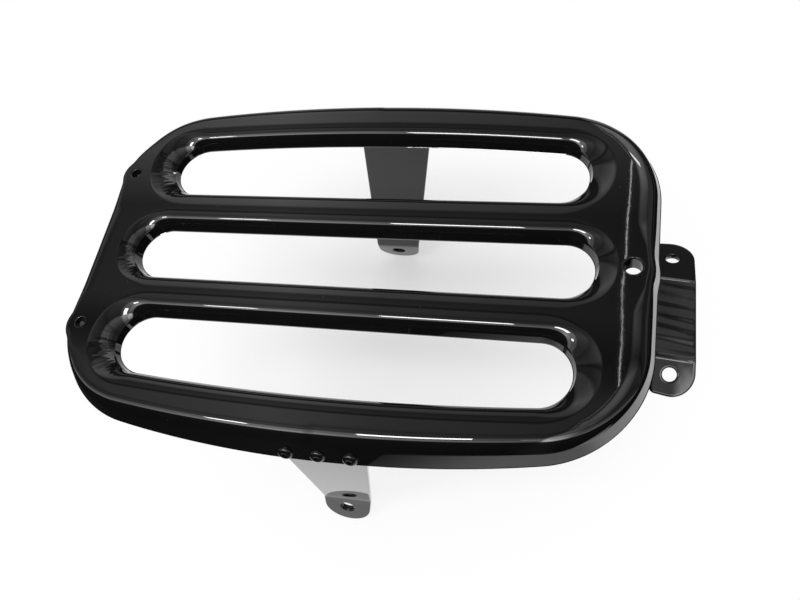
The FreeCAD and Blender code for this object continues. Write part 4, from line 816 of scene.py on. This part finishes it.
def addRamp(tree, value, pairs):  # grey ramp, with its stops as (position, brightness)
    ramp = addNode(tree, "ShaderNodeValToRGB", {"Fac": value})
    stops = ramp.color_ramp.elements
    stops.remove(stops[1])
    for place, (position, bright) in enumerate(pairs):
        stop = stops[0] if place == 0 else stops.new(position)
        stop.position = position
        stop.color = (bright, bright, bright, 1)
    return ramp.outputs["Color"]


# studio sky: bands of light along the deck, by the angle from overhead; the background itself is white
def makeWorld(s):
    world = bpy.data.worlds.new("studio")
    bpy.context.scene.world = world
    world.use_nodes = True
    tree = world.node_tree
    coord = addNode(tree, "ShaderNodeTexCoord").outputs["Generated"]
    split = addNode(tree, "ShaderNodeSeparateXYZ", {"Vector": coord}).outputs
    angle = addMap(tree, addMath(tree, "ARCTAN2", split["Y"], split["Z"]), (-math.pi, math.pi))
    bands = addRamp(tree, angle, [(0.5 + degrees / 360, bright) for degrees, bright in s["sky"]])
    sideways = addMap(tree, split["X"], (-1.0, 1.0))
    along = addRamp(tree, sideways, [(0.5 + x / 2, bright) for x, bright in s["along"]])
    sky = tree.nodes["Background"]
    sky.inputs["Color"].default_value = white
    tree.links.new(addMath(tree, "MULTIPLY", bands, along), sky.inputs["Strength"])
    plain = addNode(tree, "ShaderNodeBackground", {"Color": white, "Strength": 1.0})
    ray = addNode(tree, "ShaderNodeLightPath").outputs["Is Camera Ray"]
    mix = addNode(tree, "ShaderNodeMixShader",
                  {"Fac": ray, 1: sky.outputs["Background"], 2: plain.outputs["Background"]})
    tree.links.new(mix.outputs["Shader"], tree.nodes["World Output"].inputs["Surface"])


makeWorld(studio)


def standAt(x, y, z, place):  # matrix of an object from its three axes and its place
    return Matrix([*np.column_stack([x, y, z, place]).tolist(), [0, 0, 0, 1]])


def addPanel(name, place, target, size, power, mirrored=True):  # soft box that faces its target
    light = bpy.data.lights.new(name, "AREA")
    light.shape = "RECTANGLE"
    light.size, light.size_y = size
    light.energy = power
    lamp = bpy.data.objects.new(name, light)
    bpy.context.scene.collection.objects.link(lamp)
    back = np.array(place, float) - np.array(target, float)
    z = back / np.linalg.norm(back)
    x = np.cross((0, 1, 0.001), z)
    x /= np.linalg.norm(x)
    lamp.matrix_world = standAt(x, np.cross(z, x), z, place)
    lamp.visible_glossy = mirrored


# the soft fill lights the floor and the coat's colour; the gloss keeps the bands of the sky
lamps = {
    "key_right": dict(place=(-0.20, -0.42, 1.15), target=(0.03, 0, 0), size=(0.26, 0.13), power=3.6),
    "key_left": dict(place=(-0.62, -0.42, 1.05), target=(-0.05, 0, 0), size=(0.10, 0.08), power=0.9),
    "thin_tube": dict(place=(0.13, 0.65, 1.13), target=(0.136, 0, 0), size=(0.002, 1.0), power=0.055),
    "near_strip": dict(place=(0.125, -0.51, 1.05), target=(0.16, -0.02, -0.04), size=(0.14, 0.03), power=0.09),
    "far_strip": dict(place=(0.225, 0.82, 0.91), target=(0.16, 0.02, -0.04), size=(0.10, 0.025), power=0.12),
    "soft_fill": dict(place=(0.0, 0.10, 1.30), target=(0, 0, 0), size=(1.2, 1.2), power=3.0, mirrored=False),
}
for name, look in lamps.items():
    addPanel(name, **look)

# camera, from the photograph's viewing angle
cameraShape = dict(place=(137.64, -203.20, 346.50), angles=(62.72, 15.24, 3.2), focal=836.32, image=800, sensor=36.0)


def makeCamera(c):
    a, b, g = (math.radians(v) for v in c["angles"])
    rx = np.array([[1, 0, 0], [0, math.cos(a), -math.sin(a)], [0, math.sin(a), math.cos(a)]])
    ry = np.array([[math.cos(b), 0, math.sin(b)], [0, 1, 0], [-math.sin(b), 0, math.cos(b)]])
    rz = np.array([[math.cos(g), -math.sin(g), 0], [math.sin(g), math.cos(g), 0], [0, 0, 1]])
    look = rz @ ry @ rx @ np.array([[1, 0, 0], [0, 0, -1], [0, 1, 0]])
    data = bpy.data.cameras.new("camera")
    data.sensor_width = c["sensor"]
    data.lens = c["focal"] / c["image"] * data.sensor_width
    data.clip_start, data.clip_end = 0.01, 50
    camera = bpy.data.objects.new("camera", data)
    bpy.context.scene.collection.objects.link(camera)
    right, down, ahead = look
    camera.matrix_world = standAt(right, -down, -ahead, np.array(c["place"]) * mm)
    bpy.context.scene.camera = camera


makeCamera(cameraShape)
bpy.context.scene.view_settings.view_transform = "Standard"
print("studio and camera done")
